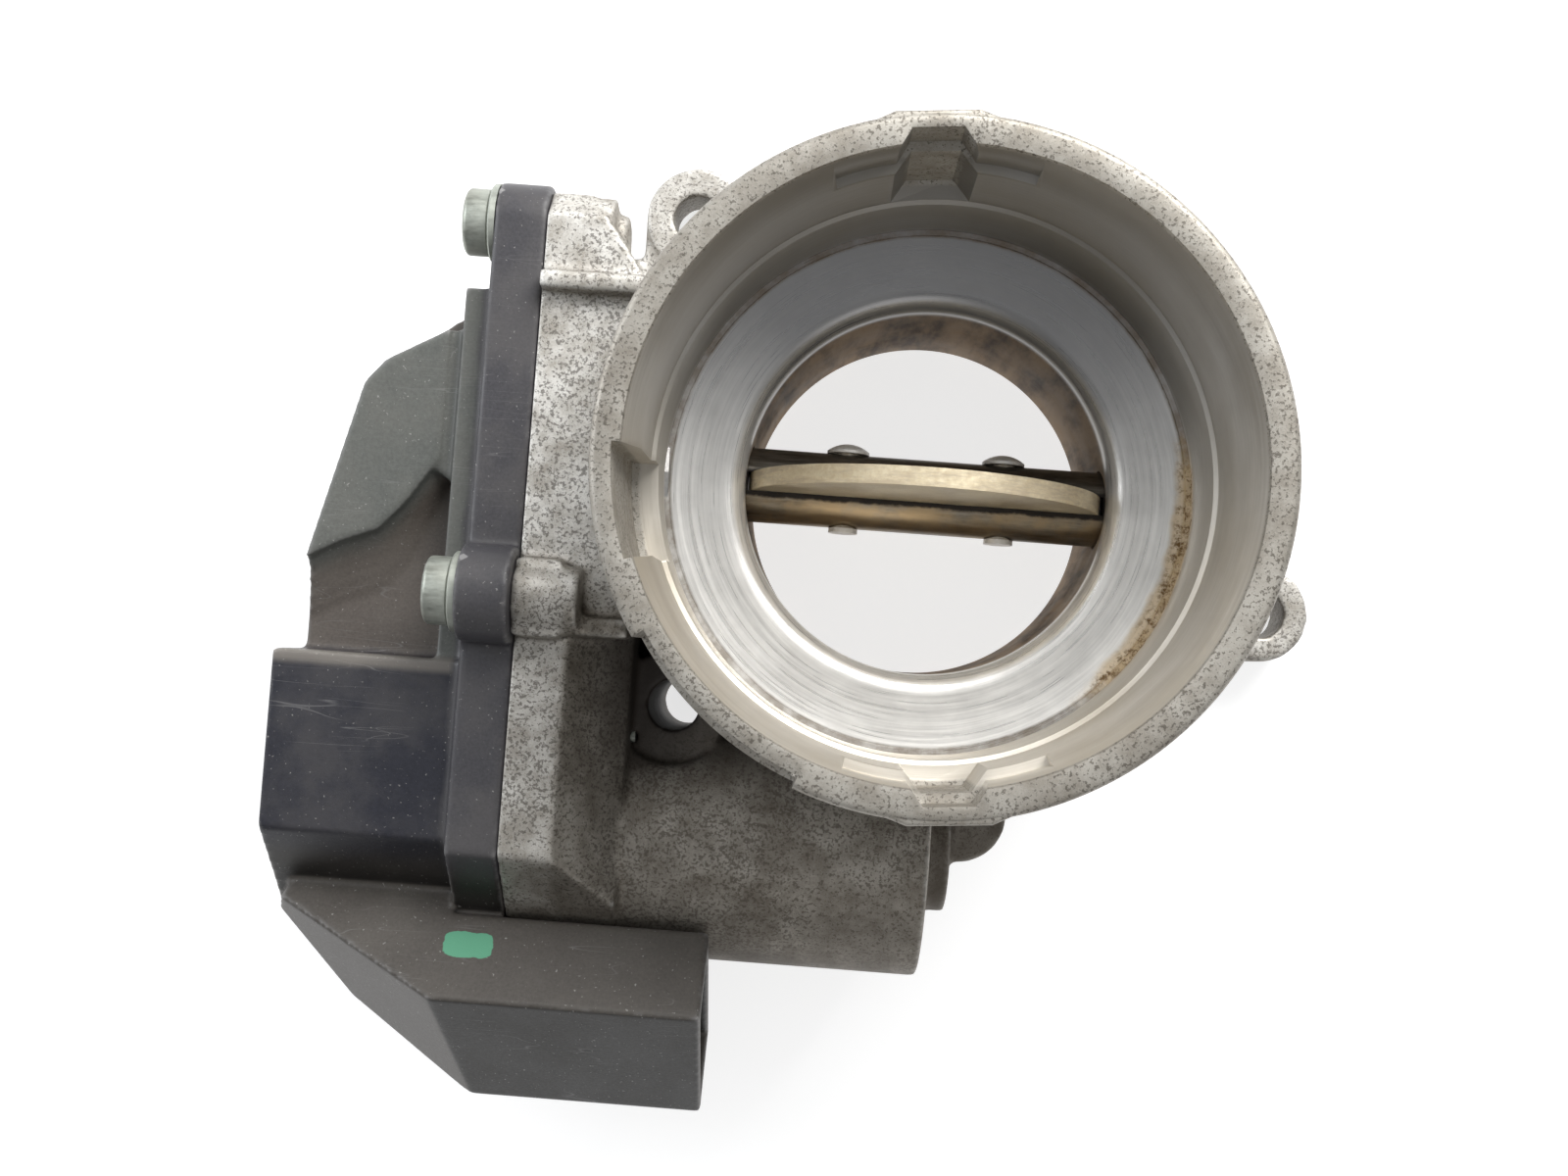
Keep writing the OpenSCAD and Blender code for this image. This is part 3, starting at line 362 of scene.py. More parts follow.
def makeEdgeWearAndLight():
    # pale where an edge stands out, as wear and a painted highlight; dark where it is hollow, as dirt and
    # painted shade
    tree, inn, out = newGroup(
        "edgeWearAndLight",
        [("Vector", "NodeSocketVector", None), ("Reach", "NodeSocketFloat", 0.06),
         ("Break up", "NodeSocketFloat", 400.0)],
        [("Worn", "NodeSocketFloat"), ("Hollow", "NodeSocketFloat")])
    point = put(tree, "NewGeometry").outputs["Pointiness"]
    rough = noise(tree, inn["Vector"], inn["Break up"], 4, 0.6)
    shift = times(tree, maths(tree, "SUBTRACT", rough, 0.5), 0.05)
    lifted = plus(tree, point, shift)
    reach = inn["Reach"]
    wornAndHighlight = mapRange(tree, lifted, 0.515, plus(tree, 0.515, reach), smooth=True)
    hollowDirtAndShade = mapRange(tree, lifted, 0.49, maths(tree, "SUBTRACT", 0.49, reach), smooth=True)
    giveOut(tree, out, Worn=wornAndHighlight, Hollow=hollowDirtAndShade)
    return tree


# how fast the marks change round the axis, against across it
ringTurn = {"rings": 0.0007, "streaks": 0.02}


def makeTurnedRings():
    # tool marks round the bore's axis, and the polar place they lie at
    tree, inn, out = newGroup(
        "turnedRings",
        [("Vector", "NodeSocketVector", None), ("Fineness", "NodeSocketFloat", 1500.0)],
        [("Radius", "NodeSocketFloat"), ("Angle", "NodeSocketFloat"), ("Rise", "NodeSocketFloat"),
         ("Rings", "NodeSocketFloat"), ("Streaks", "NodeSocketFloat")])
    x, y, z = splitVector(tree, inn["Vector"])
    flat = put(tree, "CombineXYZ", X=x, Y=y).outputs[0]
    radius = put(tree, "VectorMath", operation="LENGTH", in0=flat).outputs["Value"]
    angle = maths(tree, "ARCTAN2", y, x)
    around = put(tree, "VectorMath", operation="NORMALIZE", in0=flat).outputs[0]
    side = splitVector(tree, around)
    along = plus(tree, radius, z)
    found = []
    for turn, fineness, detail, rough in (
            (ringTurn["rings"], inn["Fineness"], 3, 0.7),
            (ringTurn["streaks"], 240.0, 4, 0.6)):
        across = [times(tree, part, turn) for part in side[:2]]
        spot = put(tree, "CombineXYZ", X=across[0], Y=across[1], Z=along)
        found.append(noise(tree, spot.outputs[0], fineness, detail, rough))
    rings, streaks = found
    giveOut(tree, out, Radius=radius, Angle=angle, Rise=z, Rings=rings, Streaks=streaks)
    return tree


castGrain = makeCastGrain()
edgeWearAndLight = makeEdgeWearAndLight()
turnedRings = makeTurnedRings()


def newMaterial(name):
    material = bpy.data.materials.new(name)
    material.use_nodes = True
    tree = material.node_tree
    tree.nodes.clear()
    output = tree.nodes.new("ShaderNodeOutputMaterial")
    shader = tree.nodes.new("ShaderNodeBsdfPrincipled")
    tree.links.new(shader.outputs[0], output.inputs[0])
    vector = put(tree, "TexCoord").outputs["Object"]
    return material, tree, shader, vector


def feed(tree, shader, colour, rough, height=None, strength=0.3, distance=0.0002, metal=None):
    for title, value in (("Base Color", colour), ("Roughness", rough), ("Metallic", metal)):
        if value is None:
            continue
        if isinstance(value, bpy.types.NodeSocket):
            tree.links.new(value, shader.inputs[title])
        else:
            shader.inputs[title].default_value = value
    if height is not None:
        bump = put(tree, "Bump", Strength=strength, Distance=distance, Height=height)
        tree.links.new(bump.outputs[0], shader.inputs["Normal"])


# Camera, light and floor

view = {
    "eye": Vector((-13.1, -23.7, 300)) * mm,
    "target": Vector((-19.2, -13.4, 0)) * mm,
    "up": Vector((-0.075, 0.9972, 0)),
    "lens": 44.55,
}


def makeCamera():
    data = bpy.data.cameras.new("camera")
    data.lens = view["lens"]
    data.sensor_width = 36
    data.clip_start = 0.01
    camera = bpy.data.objects.new("camera", data)
    bpy.context.scene.collection.objects.link(camera)
    back = (view["eye"] - view["target"]).normalized()
    right = view["up"].cross(back).normalized()
    up = back.cross(right)
    turn = Matrix((right, up, back)).transposed().to_4x4()
    camera.matrix_world = Matrix.Translation(view["eye"]) @ turn
    bpy.context.scene.camera = camera


lights = {
    "key": {"at": (150, 330, 300), "size": 300, "power": 3.4, "tint": (1, 0.99, 0.97)},
    "side": {"at": (-420, 120, 240), "size": 260, "power": 1.3, "tint": (0.93, 0.96, 1)},
    "fill": {"at": (160, -380, 380), "size": 360, "power": 0.45, "tint": (1, 0.99, 0.97)},
}


def makeLights():
    for name, light in lights.items():
        data = bpy.data.lights.new(name, "AREA")
        data.size = light["size"] * mm
        data.energy = light["power"]
        data.color = light["tint"]
        lamp = bpy.data.objects.new(name, data)
        bpy.context.scene.collection.objects.link(lamp)
        lamp.location = Vector(light["at"]) * mm
        aim = Vector((0, 0, 0.03)) - lamp.location
        lamp.rotation_euler = aim.to_track_quat("-Z", "Y").to_euler()
    world = bpy.data.worlds.new("studio")
    bpy.context.scene.world = world
    world.use_nodes = True
    tree = world.node_tree
    direction = put(tree, "TexCoord").outputs["Generated"]
    parts = splitVector(tree, direction)
    rise = mapRange(tree, parts[2], -0.1, 0.9, 0.16, 0.62, smooth=True)
    window = mapRange(tree, parts[1], -0.7, 0.7, 0.4, 1.3, smooth=True)
    shade = times(tree, rise, window)
    background = tree.nodes["Background"]
    tree.links.new(shade, background.inputs[1])
    background.inputs[0].default_value = (0.96, 0.98, 1, 1)


floorLook = {"glow": 0.74, "tone": 0.42}


def makeFloor():
    # glows a little, so that it stays pale where the part shades it
    deselectAll()
    bpy.ops.mesh.primitive_plane_add(size=6, location=(0, 0, -0.0001))
    floor = nameActive("floor")
    settle(floor)
    material, tree, shader, vector = newMaterial("paleFloor")
    low = floorLook["tone"] - 0.01
    tone = mapRange(tree, noise(tree, vector, 9, 3), 0.3, 0.7, low, floorLook["tone"] + 0.01)
    feed(tree, shader, tone, 0.7)
    shader.inputs["Emission Color"].default_value = (1, 1, 1, 1)
    shader.inputs["Emission Strength"].default_value = floorLook["glow"]
    floor.data.materials.append(material)


makeCamera()
makeLights()
makeFloor()
bpy.context.scene.view_settings.view_transform = "Standard"


# Cast and machined aluminium

castLook = {
    "light": (0.43, 0.405, 0.36), "dark": (0.15, 0.13, 0.105),
    # clean is clean metal, made brighter as painted light
    "cleanAndLit": (0.8, 0.785, 0.75), "cleanAndLitDark": (0.3, 0.275, 0.235), "rim": (0.46, 0.445, 0.41),
    # worn is wear with a painted highlight
    "fleck": (0.07, 0.058, 0.045), "wornAndHighlight": (0.62, 0.61, 0.58),
    # grime and hollow are dirt with painted shade
    "grimeAndShade": (0.085, 0.068, 0.05), "hollowDirtAndShade": (0.04, 0.03, 0.024),
    # pitShade is painted shade
    "pitShade": (0.022, 0.016, 0.013), "grain": 2100.0,
    # where each begins and ends, in metres
    "pit": (-0.0385, -0.027, 0.027), "pitReach": (0.025, 0.008), "pitTop": (0.0465, 0.042),
    "shelf": (-0.021, -0.016), "flangeX": (-0.0455, -0.0468), "flangeZ": (0.036, 0.039),
    "besideFlange": (-0.0462, -0.0445), "grimeAndShadeTop": (0.044, 0.03), "grimeAndShadeNear": (-0.02, -0.03),
}


def castColour(tree, vector, grain, cleanAndLit, pale, wearAndLight=None):
    # brown patches lie between the pale ones; clean marks where the metal is bright, as clean metal and
    # as painted light
    patch = mapRange(tree, noise(tree, vector, 150, 6, 0.68), 0.4, 0.6)
    tone = mapRange(tree, grain["Tone"], 0.36, 0.64)
    tone = blendValue(tree, 0.48, tone, patch)
    light = blendColour(tree, cleanAndLit, castLook["light"], pale)
    dark = blendColour(tree, cleanAndLit, castLook["dark"], castLook["cleanAndLitDark"])
    colour = blendColour(tree, tone, dark, light)
    fleck = times(tree, grain["Fleck"], 0.75)
    if wearAndLight:
        # dirt and painted shade in the hollows
        hollowDirtAndShade = times(tree, wearAndLight["Hollow"], 0.7)
        colour = blendColour(tree, hollowDirtAndShade, colour, castLook["hollowDirtAndShade"])
    colour = blendColour(tree, fleck, colour, castLook["fleck"])
    if wearAndLight:
        # wear and a painted highlight on standing edges
        wornAndHighlight = times(tree, wearAndLight["Worn"], 0.6)
        colour = blendColour(tree, wornAndHighlight, colour, castLook["wornAndHighlight"])
    return colour


def makeCastMaterial():
    material, tree, shader, vector = newMaterial("castAluminium")
    look = castLook
    grain = useGroup(tree, castGrain, Vector=vector, Grain=look["grain"], Flecks=0.5)
    wearAndLight = useGroup(tree, edgeWearAndLight, Vector=vector)
    x, y, z = splitVector(tree, vector)
    # the far shelf and ears are clean and painted lighter, and so is the case's flange next to the cover
    shelf = mapRange(tree, y, *look["shelf"], smooth=True)
    flange = times(tree, mapRange(tree, x, *look["flangeX"]), mapRange(tree, z, *look["flangeZ"]))
    flange = times(tree, flange, 0.6)
    # painted light: the clean tone is stronger where a face turns up
    level = splitVector(tree, put(tree, "NewGeometry").outputs["Normal"])[2]
    cleanAndLit = times(tree, maths(tree, "MAXIMUM", shelf, flange),
                  mapRange(tree, level, 0.3, 0.9, 0.35, 1.0, smooth=True))
    colour = castColour(tree, vector, grain, cleanAndLit, look["cleanAndLit"], wearAndLight)
    # grime and painted shade: darker over the motor tube, in the pit beside it and down the outside
    low = mapRange(tree, z, *look["grimeAndShadeTop"], smooth=True)
    nearMotor = mapRange(tree, y, *look["grimeAndShadeNear"], smooth=True)
    patch = mapRange(tree, noise(tree, vector, 60, 5), 0.35, 0.65)
    deep = times(tree, low, mapRange(tree, nearMotor, 0, 1, 0.45, 1.0))
    grimeAndShade = times(tree, deep, plus(tree, 0.28, times(tree, patch, 0.62)))
    # painted shade: darkest in the pit between the gear case and the socket, where the collar shades it
    spot = put(tree, "VectorMath", operation="DISTANCE", in0=vector, in1=look["pit"])
    pit = mapRange(tree, spot.outputs["Value"], *look["pitReach"], smooth=True)
    pit = times(tree, pit, mapRange(tree, z, *look["pitTop"], smooth=True))
    pit = times(tree, pit, mapRange(tree, x, *look["besideFlange"]))
    pit = times(tree, pit, maths(tree, "SUBTRACT", 1.0, shelf))
    grimeAndShade = times(tree, grimeAndShade, maths(tree, "SUBTRACT", 1.0, times(tree, cleanAndLit, 0.9)))
    shown = maths(tree, "SUBTRACT", grimeAndShade, times(tree, wearAndLight["Worn"], 0.5), clamp=True)
    colour = blendColour(tree, shown, colour, look["grimeAndShade"])
    # the painted shade laid into the pit
    colour = layOver(tree, colour, look["pitShade"], pit, 0.92)
    grimeAndShade = maths(tree, "MAXIMUM", grimeAndShade, pit)
    rough = mapRange(tree, grain["Tone"], 0.3, 0.7, 0.62, 0.42)
    rough = plus(tree, rough, times(tree, grimeAndShade, 0.12))
    metal = mapRange(tree, grimeAndShade, 0.0, 1.0, 0.85, 0.2)
    metal = maths(tree, "SUBTRACT", metal, times(tree, cleanAndLit, 0.35))
    feed(tree, shader, colour, rough, grain["Height"], 0.5, 0.0001, metal)
    return material


machinedLook = {
    "bright": (0.93, 0.915, 0.885), "brushed": (0.5, 0.49, 0.47),
    # shade is painted shade on the shoulder
    "shade": (0.24, 0.24, 0.25), "dirt": (0.13, 0.09, 0.05),
    # film is painted shade and beige is painted light on the socket's wall
    "film": (0.235, 0.215, 0.18), "beige": (0.46, 0.41, 0.33),
    "stain": (0.56, 0.4, 0.19), "crust": (0.14, 0.08, 0.03),
    "soot": (0.06, 0.036, 0.02), "varnish": (0.36, 0.25, 0.15),
    # where each begins and ends: radii and heights in metres
    "outside": (0.0382, 0.0386), "top": (0.0712, 0.0716), "below": (0.0343, 0.034),
    "throatOut": (0.0284, 0.0287), "wall": (0.0357, 0.0375), "groove": (0.0348, 0.0352),
    "grooveTop": (0.0362, 0.0355), "stainRing": (0.0322, 0.035), "stainTop": (0.0385, 0.0355),
    "crustRing": (0.0335, 0.0347), "bore": (0.0325, 0.0295),
}


def makeMachinedMaterial():
    material, tree, shader, vector = newMaterial("machinedAluminium")
    look = machinedLook
    rings = useGroup(tree, turnedRings, Vector=vector)
    grain = useGroup(tree, castGrain, Vector=vector, Grain=castLook["grain"], Flecks=0.42)
    radius = rings["Radius"]
    rise = rings["Rise"]
    angle = rings["Angle"]
    # left as cast: the rim's top and the outside
    outside = mapRange(tree, radius, *look["outside"])
    top = mapRange(tree, rise, *look["top"])
    below = times(tree, mapRange(tree, rise, *look["below"]), mapRange(tree, radius, *look["throatOut"]))
    cast = maths(tree, "MAXIMUM", maths(tree, "MAXIMUM", outside, top), below, clamp=True)
    streak = mapRange(tree, rings["Streaks"], 0.25, 0.75)
    ringTone = mapRange(tree, rings["Rings"], 0.34, 0.66)
    tone = blendValue(tree, 0.55, streak, ringTone)
    bright = blendColour(tree, tone, look["brushed"], look["bright"])
    # painted shade: the shoulder is darker toward +Y, where it reflects a darker surround
    shoulderShade = mapRange(tree, maths(tree, "SINE", angle), -0.2, 0.9, 0.0, 0.85, smooth=True)
    bright = blendColour(tree, shoulderShade, bright, look["shade"])
    # painted shade on the socket's wall on the far side, painted light in beige on the near side
    wall = mapRange(tree, rise, *look["wall"], smooth=True)
    farSide = mapRange(tree, maths(tree, "SINE", angle), -0.6, 0.5, smooth=True)
    wallLightAndShade = blendColour(tree, farSide, look["beige"], look["film"])
    film = mapRange(tree, noise(tree, vector, 45, 5), 0.3, 0.7, 0.55, 0.9)
    bright = blendColour(tree, times(tree, wall, film), bright, wallLightAndShade)
    # thin dirt line where the shoulder meets the wall
    groove = mapRange(tree, radius, *look["groove"])
    groove = times(tree, groove, mapRange(tree, rise, *look["grooveTop"]))
    broken = mapRange(tree, noise(tree, vector, 300, 5, 0.7), 0.35, 0.6, 0.35, 0.85)
    bright = layOver(tree, bright, look["dirt"], groove, broken)
    # ochre oil stain, crusted, along the shoulder's outer edge on the +X side
    edge = mapRange(tree, radius, *look["stainRing"], smooth=True)
    facing = mapRange(tree, maths(tree, "COSINE", plus(tree, angle, 0.3)), 0.72, 1.0, smooth=True)
    level = mapRange(tree, rise, *look["stainTop"])
    area = times(tree, times(tree, edge, facing), level)
    ragged = blendValue(tree, 0.4, noise(tree, vector, 260, 8, 0.72), rings["Streaks"])
    stain = plus(tree, area, times(tree, ragged, 1.3))
    stain = mapRange(tree, stain, 0.92, 1.5, smooth=True)
    stain = times(tree, stain, mapRange(tree, area, 0.02, 0.2))
    bright = layOver(tree, bright, look["stain"], stain, 0.62)
    crack = mapRange(tree, noise(tree, vector, 900, 8, 0.8), 0.48, 0.58)
    outer = mapRange(tree, radius, *look["crustRing"], 0.08, 1.0)
    crust = times(tree, times(tree, stain, crack), outer)
    bright = blendColour(tree, crust, bright, look["crust"])
    # brown deposit down the throttle bore, in streaks along the air's way
    inBore = mapRange(tree, rise, *look["bore"], smooth=True)
    stretched = put(tree, "VectorMath", operation="MULTIPLY", in0=vector, in1=(1, 1, 0.18))
    runs = noise(tree, stretched.outputs[0], 260, 6, 0.6)
    soot = mapRange(tree, runs, 0.42, 0.66, 0.2, 0.95)
    deposit = blendColour(tree, soot, look["varnish"], look["soot"])
    veil = times(tree, inBore, mapRange(tree, noise(tree, vector, 90, 4), 0.3, 0.7, 0.75, 1.0))
    bright = blendColour(tree, veil, bright, deposit)
    skin = castColour(tree, vector, grain, 0.55, castLook["rim"])
    colour = blendColour(tree, cast, bright, skin)
    ringRough = mapRange(tree, rings["Rings"], 0.3, 0.7, 0.24, 0.38)
    ringRough = plus(tree, ringRough, times(tree, wall, 0.12))
    ringRough = plus(tree, ringRough, times(tree, stain, 0.2))
    ringRough = plus(tree, ringRough, times(tree, veil, 0.55))
    rough = mapRange(tree, cast, 0.0, 1.0, ringRough, 0.5)
    ringHeight = times(tree, rings["Rings"], 0.45)
    height = mapRange(tree, cast, 0.0, 1.0, ringHeight, grain["Height"])
    dull = maths(tree, "MAXIMUM", stain, veil)
    metal = mapRange(tree, dull, 0.0, 1.0, 0.62, 0.0)
    feed(tree, shader, colour, rough, height, 0.45, 0.00008, metal)
    shader.inputs["Specular IOR Level"].default_value = 0.25
    return material


def makeSpeckle():
    # fine tone, broad patches, specks and thin scratches for moulded and worked surfaces
    tree, inn, out = newGroup(
        "speckle",
        [("Vector", "NodeSocketVector", None), ("Grain", "NodeSocketFloat", 900.0),
         ("Patch size", "NodeSocketFloat", 60.0), ("Stretch", "NodeSocketVector", (1, 1, 1))],
        [("Tone", "NodeSocketFloat"), ("Patch", "NodeSocketFloat"), ("Speck", "NodeSocketFloat"),
         ("Scratch", "NodeSocketFloat"), ("Height", "NodeSocketFloat")])
    vector = inn["Vector"]
    grain = inn["Grain"]
    drawn = put(tree, "VectorMath", operation="MULTIPLY", in0=vector, in1=inn["Stretch"])
    fine = noise(tree, drawn.outputs[0], grain, 5, 0.65)
    tone = mapRange(tree, fine, 0.32, 0.68)
    broad = noise(tree, vector, inn["Patch size"], 5, 0.6)
    patch = mapRange(tree, broad, 0.36, 0.64, smooth=True)
    spots = noise(tree, vector, times(tree, grain, 0.9), 2, 0.4)
    speck = mapRange(tree, spots, 0.7, 0.76)
    scratch = None
    for turn, across in ((0.5, 420.0), (-0.9, 330.0), (1.9, 500.0)):
        turned = put(tree, "Mapping", Vector=vector, Rotation=(0.3, 0.2, turn), Scale=(0.06, 1, 0.4))
        line = noise(tree, turned.outputs[0], across, 1, 0.3)
        thin = mapRange(tree, maths(tree, "ABSOLUTE", maths(tree, "SUBTRACT", line, 0.5)), 0.004, 0.0)
        gate = mapRange(tree, noise(tree, vector, 38 + across * 0.05, 2), 0.58, 0.66)
        mark = times(tree, thin, gate)
        scratch = mark if scratch is None else maths(tree, "MAXIMUM", scratch, mark)
    height = maths(tree, "SUBTRACT", fine, times(tree, scratch, 0.6))
    giveOut(tree, out, Tone=tone, Patch=patch, Speck=speck, Scratch=scratch, Height=height)
    return tree


speckle = makeSpeckle()


# Moulded cover

coverLook = {
    "band": (0.047, 0.0455, 0.051), "pad": (0.086, 0.09, 0.083),
    "valley": (0.08, 0.068, 0.059), "box": (0.015, 0.0155, 0.023),
    # front is painted shade
    "block": (0.062, 0.055, 0.048), "frontShade": (0.009, 0.008, 0.007), "dust": (0.21, 0.19, 0.16),
    # worn is wear with a painted highlight, hollow is dirt with painted shade
    "wornAndHighlight": (0.24, 0.235, 0.235), "hollowDirtAndShade": (0.02, 0.019, 0.019),
    # ledge is a painted highlight colour
    "ledge": (0.3, 0.27, 0.23), "boxHighlightAt": -0.0284,
    "paint": (0.085, 0.29, 0.175), "speck": (0.42, 0.41, 0.39),
    "padLow": 0.0405, "bandFrom": -0.0612, "boxFrom": -0.0276,
    "blockFrom": -0.0555, "dabAt": (-0.057, -0.0655, 0.04), "dabSize": (0.0033, 0.00155, 0.006),
}


def makeCoverMaterial():
    look = coverLook
    material, tree, shader, vector = newMaterial("mouldedCover")
    marks = useGroup(tree, speckle, Vector=vector, Grain=2600.0, Patch_size=85.0)
    wearAndLight = useGroup(tree, edgeWearAndLight, Vector=vector, Reach=0.07, Break_up=700.0)
    parts = splitVector(tree, vector)
    soft = times(tree, maths(tree, "SUBTRACT", noise(tree, vector, 90, 3), 0.5), 0.002)
    x = plus(tree, parts[0], soft)
    y = plus(tree, parts[1], soft)
    z = plus(tree, parts[2], soft)
    raised = mapRange(tree, z, look["padLow"] - 0.001, look["padLow"] + 0.001, smooth=True)
    colour = blendColour(tree, raised, look["valley"], look["pad"])
    box = mapRange(tree, y, look["boxFrom"] + 0.0006, look["boxFrom"] - 0.0006)
    colour = blendColour(tree, box, colour, look["box"])
    block = mapRange(tree, y, look["blockFrom"] + 0.003, look["blockFrom"] - 0.003, smooth=True)
    colour = blendColour(tree, block, colour, look["block"])
    normal = splitVector(tree, put(tree, "NewGeometry").outputs["Normal"])
    # painted shade: the block is darkened where it faces the near side, less where it faces away from the
    # housing
    frontShade = times(tree, block, mapRange(tree, normal[1], -0.45, -0.75, smooth=True))
    frontShade = times(tree, frontShade, mapRange(tree, normal[0], -0.5, -0.2, smooth=True))
    colour = blendColour(tree, frontShade, colour, look["frontShade"])
    band = mapRange(tree, x, look["bandFrom"] - 0.0004, look["bandFrom"] + 0.0004)
    onBand = times(tree, band, maths(tree, "SUBTRACT", 1.0, block))
    colour = blendColour(tree, onBand, colour, look["band"])
    # moulding tone, dust on what faces up, dirt and painted shade in the hollows, wear and a painted
    # highlight on the edges
    tone = mapRange(tree, marks["Tone"], 0, 1, 0.82, 1.16)
    tint = put(tree, "CombineColor", Red=tone, Green=tone, Blue=tone).outputs[0]
    colour = blendColour(tree, 1.0, colour, tint, "MULTIPLY")
    up = mapRange(tree, normal[2], 0.35, 1.0, smooth=True)
    settled = times(tree, marks["Patch"], up)
    colour = layOver(tree, colour, look["dust"], settled, 0.1)
    colour = layOver(tree, colour, look["hollowDirtAndShade"], wearAndLight["Hollow"], 0.6)
    colour = layOver(tree, colour, look["wornAndHighlight"], wearAndLight["Worn"], 0.75)
    colour = layOver(tree, colour, look["wornAndHighlight"], marks["Scratch"], 0.3)
    colour = layOver(tree, colour, look["speck"], marks["Speck"], 0.4)
    # painted highlight along the far top edge of the box
    ledge = mapRange(tree, maths(tree, "ABSOLUTE", maths(tree, "SUBTRACT", parts[1], look["boxHighlightAt"])),
                     0.0016, 0.0003, smooth=True)
    ledge = times(tree, ledge, mapRange(tree, parts[2], 0.0385, 0.041))
    ledge = times(tree, ledge, maths(tree, "SUBTRACT", 1.0, band))
    colour = layOver(tree, colour, look["ledge"], ledge, 0.42)
    # dab of marking paint
    offset = put(tree, "VectorMath", operation="SUBTRACT", in0=vector, in1=look["dabAt"])
    spread = put(tree, "VectorMath", operation="DIVIDE", in0=offset.outputs[0], in1=look["dabSize"])
    sides = [maths(tree, "POWER", side, 4) for side in splitVector(tree, spread.outputs[0])]
    reach = plus(tree, plus(tree, sides[0], sides[1]), sides[2])
    ragged = plus(tree, reach, times(tree, noise(tree, vector, 600, 4), 1.4))
    dab = mapRange(tree, ragged, 1.75, 1.6)
    colour = layOver(tree, colour, look["paint"], dab, 0.92)
    rough = mapRange(tree, marks["Tone"], 0, 1, 0.38, 0.5)
    rough = plus(tree, rough, times(tree, settled, 0.16))
    rough = maths(tree, "SUBTRACT", rough, times(tree, onBand, 0.04))
    feed(tree, shader, colour, rough, marks["Height"], 0.3, 0.00006, 0.0)
    shader.inputs["Specular IOR Level"].default_value = 0.42
    return material


# Finishes of the smaller pieces: light and dark tone, stain, grain, roughness, metal, stretch

finishes = {
    "seal_rubber": ((0.035, 0.034, 0.033), (0.014, 0.014, 0.014), (0.07, 0.06, 0.045),
        1600.0, (0.6, 0.85)),
    "zinc_steel": ((0.38, 0.4, 0.36), (0.2, 0.215, 0.19), (0.16, 0.13, 0.09),
        1500.0, (0.34, 0.55), 0.75, (0.35, 1, 1)),
    "bright_steel": ((0.62, 0.62, 0.62), (0.42, 0.42, 0.42), (0.2, 0.15, 0.09),
        2200.0, (0.18, 0.34), 1.0, (0.08, 1, 1)),
    "spring_steel": ((0.42, 0.41, 0.4), (0.22, 0.215, 0.21), (0.12, 0.09, 0.06),
        1900.0, (0.26, 0.45), 1.0),
    "gear_plastic": ((0.72, 0.69, 0.6), (0.6, 0.57, 0.48), (0.3, 0.24, 0.15), 900.0, (0.26, 0.42)),
    "pin_metal": ((0.66, 0.64, 0.58), (0.48, 0.45, 0.38), (0.3, 0.22, 0.1),
        2400.0, (0.2, 0.36), 1.0, (0.1, 1, 1)),
    "board_plastic": ((0.03, 0.16, 0.07), (0.018, 0.1, 0.045), (0.09, 0.1, 0.05), 1800.0, (0.32, 0.5)),
    "chip_plastic": ((0.03, 0.03, 0.032), (0.016, 0.016, 0.017), (0.05, 0.05, 0.05), 3200.0, (0.42, 0.6)),
    "copper": ((0.64, 0.32, 0.17), (0.42, 0.19, 0.09), (0.16, 0.08, 0.05),
        2000.0, (0.24, 0.42), 1.0, (0.12, 1, 1)),
    "bush_bronze": ((0.52, 0.37, 0.19), (0.34, 0.23, 0.11), (0.13, 0.08, 0.04),
        3000.0, (0.36, 0.56), 1.0),
    "brush_carbon": ((0.045, 0.045, 0.047), (0.02, 0.02, 0.02), (0.09, 0.06, 0.045), 2600.0, (0.4, 0.7)),
    "magnet_black": ((0.1, 0.1, 0.106), (0.05, 0.05, 0.054), (0.15, 0.12, 0.09), 2100.0, (0.5, 0.74)),
    "core_steel": ((0.3, 0.3, 0.31), (0.1, 0.1, 0.105), (0.13, 0.08, 0.05),
        2400.0, (0.34, 0.56), 0.95, (1, 0.03, 0.03)),
    "pinion_brass": ((0.66, 0.5, 0.23), (0.46, 0.33, 0.13), (0.2, 0.13, 0.05),
        2200.0, (0.22, 0.4), 1.0, (0.1, 1, 1)),
    "plate_screw_steel": ((0.85, 0.83, 0.79), (0.62, 0.59, 0.53), (0.34, 0.27, 0.18),
        1900.0, (0.3, 0.45), 0.25),
}


def makeFinish(name, light, dark, stain, grain, roughness, metal=0.0, stretch=(1, 1, 1)):
    material, tree, shader, vector = newMaterial(name.replace("_", " ").title().replace(" ", ""))
    marks = useGroup(tree, speckle, Vector=vector, Grain=grain, Patch_size=150.0, Stretch=stretch)
    wearAndLight = useGroup(tree, edgeWearAndLight, Vector=vector)
    colour = blendColour(tree, marks["Tone"], dark, light)
    dirt = times(tree, marks["Patch"], 0.28)
    # dirt with painted shade from the hollows
    dirt = maths(tree, "ADD", dirt, times(tree, wearAndLight["Hollow"], 0.5), clamp=True)
    colour = blendColour(tree, dirt, colour, stain)
    # wear with a painted highlight on standing edges
    wornHighlight = [min(1, c * 1.4) for c in light]
    colour = layOver(tree, colour, wornHighlight, wearAndLight["Worn"], 0.45)
    colour = layOver(tree, colour, light, marks["Scratch"], 0.4)
    rough = mapRange(tree, marks["Tone"], 0, 1, *roughness)
    rough = plus(tree, rough, times(tree, dirt, 0.2))
    if metal:
        metal = mapRange(tree, dirt, 0, 0.8, metal, metal * 0.55)
    feed(tree, shader, colour, rough, marks["Height"], 0.25, 0.00005, metal)
    return material


